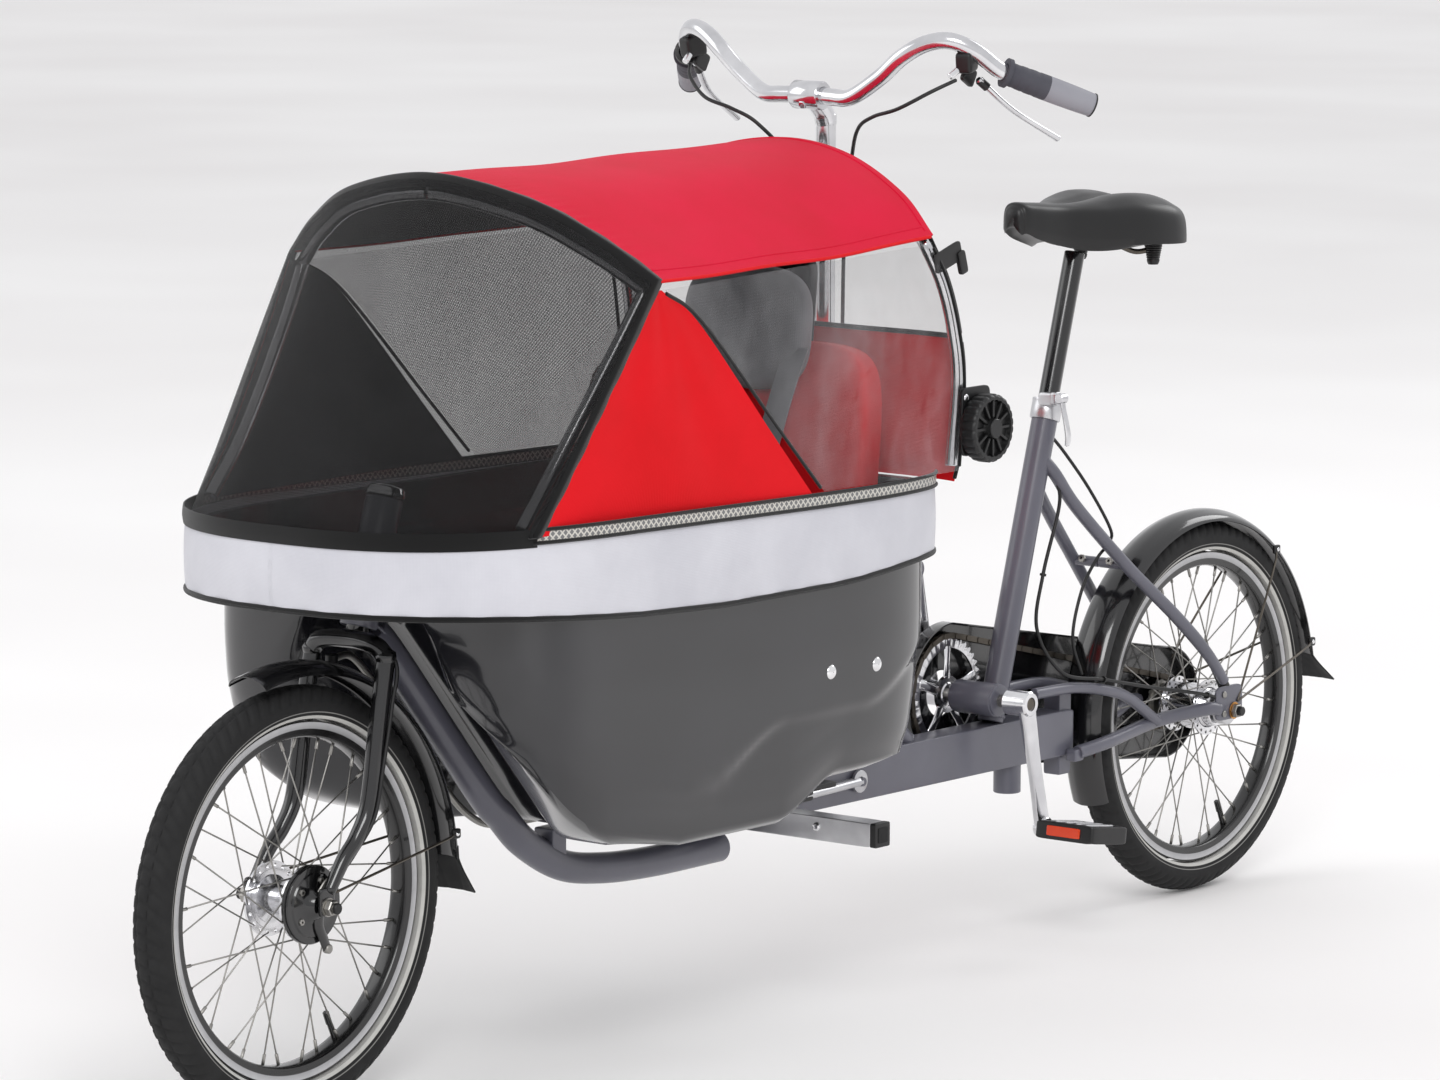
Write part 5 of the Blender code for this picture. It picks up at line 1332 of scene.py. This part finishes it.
    # The rear wall: red cloth below, clear film above.
    arch = wholeArch(canopy["rearLeg"], canopy["rearTop"], 5, 240) + [0, 16, 0]
    half = arch[:120]
    piping = []
    for name, low, high, material, slotName in (("Lower", 662, 838, redCloth, "red_fabric"),
                                                ("Upper", 838, 1060, vinylFilm, "clear_film")):
        z = np.linspace(low + 1, high - 1, 50)
        hx = np.interp(z, half[:, 2], half[:, 0])
        hy = np.interp(z, half[:, 2], half[:, 1])
        across = np.linspace(-0.985, 0.985, 70)
        wall = np.stack([hx[:, None] * across, hy[:, None] + 0 * across, z[:, None] + 0 * across], -1)
        wall[..., 1] += ripple(wall, 60, 2.6, 0.4) * (1 - np.abs(across) ** 4) - 13 * np.abs(across) ** 7
        wall[..., 0] *= (1 - 0.03 * ease((690 - z) / 40))[:, None]
        piping += [tube(wall[1:-1, 0], 2.6, 10), tube(wall[1:-1, -1], 2.6, 10)]
        if name == "Upper":
            piping.append(tube(wall[0, 1:-1] + [0, 0.6, 0], 3.2, 10, (0, 0, 1)))
        piece = addPiece("rearWall" + name, [skin(wall, 0.9)], material, "frame",
                         ["rear_panel"] if name == "Lower" else (), sharp=60)
    addPiece("rearWallPiping", piping, blackCloth, "frame", sharp=60)
    addPiece("frontHoopTube", [tube(wholeArch(canopy["frontLeg"], canopy["frontTop"], 21, 200), 7.9, 24)], polished,
             "frame",
             ["front_hoop"])
    addPiece("rearHoopTube", [tube(wholeArch(canopy["rearLeg"], canopy["rearTop"], 16, 200), 7.9, 24)], polished,
             "frame",
             ["rear_hoop"])
    parts = []
    for s in (1, -1):
        # Webbing tab with its buckle, and the knob's plate with a screw.
        parts.append((roundBlock((s * 256, 4, 938), (3, 56, 25), (0.3, 0, 0), 0.3, 12, 24), 0))
        parts.append((roundBlock((s * 257, 31, 930), (7, 14, 29), (0.3, 0, 0), 0.3, 12, 24), 0))
        parts.append((roundBlock((s * 276.5, 34, 738), (5, 58, 84), (0, 0, 0), 0.25, 14, 28), 0))
        parts.append((bar((s * 278, 12, 768), (s * 280.6, 12, 768), 4.5, 18), 1))
    addPiece("canopyTabsAndPlates", parts, [blackPlastic, chrome], "frame", sharp=50)


knob = {"along": [0, 0, 2, 4, 18, 20.5, 22, 22, 17, 16, 16, 19, 25, 26, 26],
        "radius": [2, 40, 41.6, 42, 42, 41, 39, 35, 33.5, 33, 14, 12.4, 12, 11, 2]}


def makeKnobs():
    for name, s in (("left", 1), ("right", -1)):
        turn = np.linspace(0, 2 * np.pi, 192, endpoint=False)[:, None]
        x = np.array(knob["along"])[None, :]
        r = np.array(knob["radius"])[None, :]
        lobes = 1 - 0.035 * (0.5 + 0.5 * np.cos(turn * 24)) ** 3 * (r > 34)
        grid = np.stack([s * (281 + x) + 0 * turn, 38 + r * lobes * np.sin(turn), 730 + r * lobes * np.cos(turn)], -1)
        parts = [surface(np.swapaxes(grid, 0, 1), closeV=True, caps=True)]
        for k in range(12):
            a = 2 * math.pi * k / 12
            parts.append(roundBlock((s * 299, 38 + 24 * math.sin(a), 730 + 24 * math.cos(a)), (6, 3.4, 22),
                                    (-a, 0, 0), .3,
                                    10, 16))
        addPiece("ribbedKnob" + name.title(), parts, blackPlastic, "knob_" + name[0],
                 ["canopy_knob_" + name], sharp=35)


def cushion(centre, size, turn=(0, 0, 0), crown=0.16, tufts=()):
    # A soft box whose faces swell toward their middles, with shallow tufts.
    part = roundBlock(centre, size, (0, 0, 0), 0.28, 60, 96)
    local = part["points"] - centre
    share = local / (np.array(size) / 2)
    thin = int(np.argmin(size))
    others = [k for k in range(3) if k != thin]
    swell = np.cos(np.clip(share[:, others[0]], -1, 1) * np.pi / 2) * np.cos(np.clip(share[:, others[1]], -1, 1)
                                                                             * np.pi / 2)
    local[:, thin] *= (1 - crown) + crown * np.sqrt(np.maximum(swell, 0))
    for u, w in tufts:
        d = np.hypot(local[:, others[0]] - u, local[:, others[1]] - w)
        local[:, thin] *= 1 - 0.22 * np.exp(-(d / 16) ** 2)
    spin = np.array(Matrix.Rotation(turn[0], 3, "X"))
    part["points"] = local @ spin.T + centre
    return part


def makeBench():
    seat = addPiece("benchSeatCushion", [cushion((0, -200, 396), (380, 298, 62), tufts=((-90, 0), (90, 0)))],
                    redCloth,
                    "frame", ["bench_seat"], sharp=70)
    tilt = math.radians(-6)
    back = addPiece("benchBackCushion", [cushion((0, -55, 600), (360, 60, 455), (tilt, 0, 0),
                                                 tufts=((-80, 60), (80, 60)))],
                    redCloth, "frame", sharp=70)
    rest = roundBlock((0, -62, 842), (190, 44, 152), (tilt, 0, 0), 0.62, 40, 64)
    head = addPiece("greyHeadrest", [rest], greyCloth, "frame", sharp=70)
    pad = addPiece("headrestBackPad", [roundBlock((0, -30, 862), (150, 22, 140), (tilt, 0, 0), 0.25, 30, 48)],
                   linerCloth,
                   "frame", sharp=70)
    parts = []
    for s in (-1, 1):
        strap = [(s * 86, -72, 822), (s * 80, -93, 770), (s * 52, -106, 660), (s * 18, -112, 560), (s * 10, -118, 500)]
        path = through(strap, 70)
        w = np.linspace(-1, 1, 7)
        grid = path[:, None] + np.column_stack([w * 17, -2 * (1 - w * w), 0 * w])
        parts.append((skin(grid, 2.2), 0))
    parts.append((roundBlock((0, -122, 520), (44, 12, 52), sharpness=0.35), 1))
    addPiece("harnessStraps", parts, [greyCloth, blackPlastic], "frame", sharp=60)


makeCanopy()
makeKnobs()
makeBench()
print("canopy and bench ready")

# ---- chain, case and rings

def stadium(inset, x):
    # Two half circles of different radius joined by straight runs, at one X.
    first = np.radians(np.linspace(90, 270, 48))
    last = np.radians(np.linspace(-90, 90, 48))
    y0, z0 = crankCentre
    points = [(x, y0 + (chainCase["frontRadius"] - inset) * math.cos(t),
               z0 + (chainCase["frontRadius"] - inset) * math.sin(t)) for t in first]
    points += [(x, axleY + (chainCase["rearRadius"] - inset) * math.cos(t),
                250 + (chainCase["rearRadius"] - inset) * math.sin(t)) for t in last]
    return np.array(points)


chainCase = {"outside": [(0, -41.4), (0, -58.5), (0.8, -61.2), (2.6, -62.7), (12, -63), (13.5, -62), (26, -62),
                        (28, -63)],
             "screws": ((360, 262), (372, 384), (560, 368), (560, 218), (730, 345), (745, 196), (905, 312),
                       (960, 226)),
             "frontRadius": 94.6,
             "rearRadius": 75.6}


def makeChainCase():
    y0, z0 = crankCentre
    angles = np.concatenate([np.radians(np.linspace(90, 270, 48)), np.radians(np.linspace(-90, 90, 48))])
    hole = lambda x, r: np.column_stack([0 * angles + x, y0 + r * np.cos(angles), z0 + r * np.sin(angles)])
    rows = [stadium(inset, x) for inset, x in chainCase["outside"]]
    # The face runs from the pressed step to the hole round the crank axle.
    rows += [rows[-1] * (1 - t) + hole(-63, 31) * t for t in (0.3, 0.6, 0.9)]
    rows += [hole(-63, 30.2), hole(-61.2, 30.2)]
    rows += [stadium(26, -60.6), stadium(3, -60.6), stadium(1.8, -59.4), stadium(1.8, -41.4)]
    parts = [(surface(np.array(rows), closeU=True, closeV=True), 0)]
    for y, z in chainCase["screws"]:
        parts.append((bar((-61.8, y, z), (-64.6, y, z), 4.0, 18, ends=0.8), 1))
    addPiece("oblongChainCase", parts, [blackPaint, chrome], "frame", ["chain_case"], sharp=35)


def toothedRing(teeth, radius, depth, inner, x, thick, y, z):
    # A ring whose outer radius follows a clipped cosine, one wave to a tooth, with chamfered tips.
    turn = np.linspace(0, 2 * np.pi, teeth * 8, endpoint=False)
    out = radius + depth * (np.clip(np.cos(turn * teeth), -0.4, 0.7) - 0.2)
    loops = [(-thick / 2, np.full_like(out, inner)), (-thick / 2, out - 2.5), (-thick * 0.22, out),
             (thick * 0.22, out),
             (thick / 2, out - 2.5), (thick / 2, np.full_like(out, inner))]
    grid = np.stack([np.column_stack([0 * r + x + dx, y + r * np.cos(turn), z + r * np.sin(turn)]) for dx,
                     r in loops])
    return surface(grid, closeU=True, closeV=True)


# Rings are teeth, radius, tooth depth, inner radius, X and thickness; runs are the radii that the chain follows.
drive = {"chainring": (38, 73.0, 3.0, 60, -51, 2.6), "sprocket": (17, 30.6, 2.6, 22, -51, 2.4),
         "bigRun": 76.5, "smallRun": 34.0, "links": 106}


def makeRings():
    y0, z0 = crankCentre
    parts = [(toothedRing(*drive["chainring"], y0, z0), 0),
             (collar(-53.5, -48.5, 8, 24, (0, y0, z0), steps=48), 0)]
    for k in range(5):
        a = 2 * math.pi * k / 5 + 0.3
        p, q = np.array([0, math.cos(a), math.sin(a)]), np.array([-51, y0, z0])
        parts.append((tube(np.array([q + p * 20, q + p * 42, q + p * 63]), [8, 6, 7.5], 16, squash=0.34, ends=1), 0))
        parts.append((hexNut(*(q + p * 63 - [2.6, 0, 0]), 1.2, 4.4), 1))
    parts.append((bar((-49, y0, z0), (49, y0, z0), 8.0, 24), 1))
    addPiece("fiveArmChainring", parts, [polished, steel], "crankset", ["chainring"], sharp=35)
    parts = [toothedRing(*drive["sprocket"], axleY, 250),
             collar(-53.6, -44.5, 6.5, 25, (0, axleY, 250), steps=48)]
    addPiece("hubSprocket", parts, steel, "sprocket", ["rear_sprocket"], sharp=35)
    # Chain: pairs of plates on a loop that wraps both rings.
    gap = math.hypot(axleY - y0, 250 - z0)
    lean = math.atan2(250 - z0, axleY - y0)
    bite = math.asin((drive["bigRun"] - drive["smallRun"]) / gap)
    upA, downA = lean + math.pi / 2 - bite, lean - math.pi / 2 + bite
    big = np.linspace(upA, downA + 2 * math.pi, 90)
    small = np.linspace(downA, upA, 60)
    loop = [(y0 + drive["bigRun"] * math.cos(a), z0 + drive["bigRun"] * math.sin(a)) for a in big]
    loop += [(axleY + drive["smallRun"] * math.cos(a), 250 + drive["smallRun"] * math.sin(a)) for a in small]
    loop.append(loop[0])
    loop = even(np.column_stack([np.full(len(loop), -51.0), np.array(loop)]), drive["links"] + 1)[:-1]
    parts = []
    a = np.linspace(0, 2 * np.pi, 12, endpoint=False)
    for k in range(len(loop)):
        p, q = loop[k], loop[(k + 1) % len(loop)]
        d = (q - p) / np.linalg.norm(q - p)
        n = np.cross([1, 0, 0], d)
        half = np.linalg.norm(q - p) / 2
        reach = np.cos(a) * 4.0 + np.sign(np.cos(a)) * half * 0.98
        ringOut = (p + q) / 2 + d * reach[:, None] + n * (np.sin(a) * 3.8)[:, None]
        for s in (-1, 1):
            x = s * (3.3 if k % 2 else 2.3)
            grid = np.stack([ringOut + [x - 0.45, 0, 0], ringOut + [x + 0.45, 0, 0]])
            parts.append(surface(grid, closeV=True, caps=True))
        parts.append(bar(p - [3.9, 0, 0], p + [3.9, 0, 0], 1.8, 8, ends=0.3, stops=1))
    addPiece("rollerChain", parts, darkSteel, "frame", ["chain"], sharp=35)


makeChainCase()
makeRings()
print("chain ready")

# ---- clamp, stand, link and small fittings

fittings = {"blade": [(36, 551, 700), (37.5, 552, 688), (41, 554, 668), (42, 557, 650), (40, 559, 638)],
            "drumLine": [(30, -806, 548), (66, -796, 520), (69, -806, 470), (69, -822, 400), (68, -836, 345),
                        (60, -862, 305), (52, -876, 284)],
            "hubLine": [(19, 560, 596), (23, 566, 560), (20, 535, 470), (22, 520, 400), (34, 560, 340),
                       (44, 640, 322), (50, 740, 300), (64, 830, 282), (64, 880, 268), (56, 892, 258)],
            "loopLine": [(9, 563, 650), (15, 590, 622), (24, 630, 574), (34, 664, 520), (30, 670, 500),
                        (22, 652, 478), (20, 622, 440), (22, 600, 380), (30, 610, 330)],
            "leg": [(25.5, -98, 247), (25.5, 20, 249), (25.5, 137, 252)]}


def makeFittings():
    top, along = seatAxis
    unit = along / np.linalg.norm(along)
    parts = [(turned([(-12, 17.3), (-12, 19.4), (-11, 20), (11, 20), (12, 19.4), (12, 17.3)], top - unit * 12.4, unit,
                     48), 0),
             (collar(-1.4, 1.4, 14.2, 20.4, top + unit * 0.4, unit, 48), 0),
             (roundBlock((12, 554, 697), (26, 12, 18), sharpness=0.4), 0),
             (roundBlock((24, 554, 699), (9, 14, 17), sharpness=0.4), 0)]
    addPiece("seatClampCollar", parts, [brushed], "frame", ["seat_clamp"])
    parts = [tube(through(fittings["blade"], 50), np.interp(np.linspace(0, 1, 50), [0, 0.2, 0.9, 1],
                                                            [6, 4.8, 5.6, 5.0]), 20,
                  squash=0.5, ends=1.5),
             bar((36, 543, 700), (36, 557, 700), 6.6, 24)]
    addPiece("quickReleaseLever", parts, polished, "clamp", ["clamp_lever"])
    # Stand: a square foot bar with plugged ends and screws, and two legs to the pivot.
    parts = [(roundBlock((0, -98, 241), (464, 29.6, 29.6), sharpness=0.06, across=24, around=40), 0)]
    for s in (-1, 1):
        parts.append((roundBlock((s * 235.5, -98, 241), (9, 30, 30), sharpness=0.14), 1))
        parts.append((roundBlock((s * 240, -98, 241), (2, 19, 19), sharpness=0.2), 2))
        for x in (60, 150):
            parts.append((turned([(-1, 0.5), (-1, 6), (1.2, 5.2), (2.2, 3.0), (1.2, 2.4), (1.2, 0.5)],
                                 (s * x, -113.2, 243), (0, -1, 0), 28), 3))
        parts.append((tube(through(np.array(fittings["leg"]) * [s, 1, 1], 20), 5.8, 20, squash=1.4), 0))
        parts.append((turned([(-2.9, 6.3), (-2.9, 13), (-2, 14.3), (2, 14.3), (2.9, 13), (2.9, 6.3)],
                             (s * 25.5, 137, 252), steps=48), 0))
    addPiece("parkingStandBar", parts, [brushed, blackPlastic, rubber, chrome], "stand",
             ["parking_stand"], sharp=35)
    y = -738 - (700 - 496) * math.tan(headTilt) + 40
    rod = [(-60, y, 508), (-60, -723, 502), (-60, -650, 425), (-60, -570, 335), (-60, -520, 290), (-60, -470, 271),
           (-60, -380, 269), (-60, -60, 269), (-60, 30, 284), (-60, 114, 304)]
    parts = [(tube(through(rod, 160), 4.4, 18), 0), (bar((-60, y, 499.5), (-60, y, 513), 7.6, 24), 1),
             (roundBlock((-60, 124, 304), (6.0, 26, 11), sharpness=0.3), 1)]
    addPiece("steeringLinkRod", parts, [steel, blackPlastic], "link", ["steering_link"])
    parts = [(roundBlock((-60 + s * 5.7, 134, 303), (3.6, 15, 12), sharpness=0.3), 0) for s in (-1, 1)]
    parts += [(bar((-60, 134, 295), (-60, 134, 298.4), 7.8, 28), 0),
              (bar((-68, 134, 304), (-66.2, 134, 304), 4, 16), 1)]
    addPiece("linkForkEnd", parts, [steel, darkSteel], "link_joint", ["link_end"])
    # Control lines: one down the fork fittings["blade"] to the drum, one down the seat tube to the geared hub.
    addPiece("frontBrakeLine", [tube(through(fittings["drumLine"], 90), 2.4, 12)], blackPlastic, "fork")
    ties = [collar(-1.5, 1.5, 2, 4.4, p, d, 16) for p, d in
            (((20, 535, 470), (0, 0.3, 1)), ((44, 640, 322), (0, 1, -0.2)), ((64, 850, 277), (0, 1, -0.3)))]
    addPiece("rearControlLines", [tube(through(fittings["hubLine"], 120), 2.4, 12),
                                  tube(through(fittings["loopLine"], 90), 2.2, 12)] + ties,
             blackPlastic, "frame")
    # A slotted bracket under the tub, and the reaction arm of the rear drum with its clip.
    parts = [(roundBlock((48, -10, 268), (46, 84, 7), sharpness=0.12), 0),
             (roundBlock((30, -10, 256), (7, 84, 26), sharpness=0.12), 0)]
    for y in (-34, 14):
        parts.append((hexNut(48, y, 263, 2.2, 6, (0, 0, 1)), 1))
    arm = [(60, axleY - 2, 268), (60, 890, 292), (60, 860, 330)]
    parts.append((tube(through(arm, 30), np.linspace(8.5, 6, 30), 18), 0))
    parts.append((bar((55, 862, 328), (66, 862, 328), 5, 16), 1))
    addPiece("bracketAndReactionArm", parts, [blackPlastic, steel], "frame")


makeFittings()
print("fittings ready")
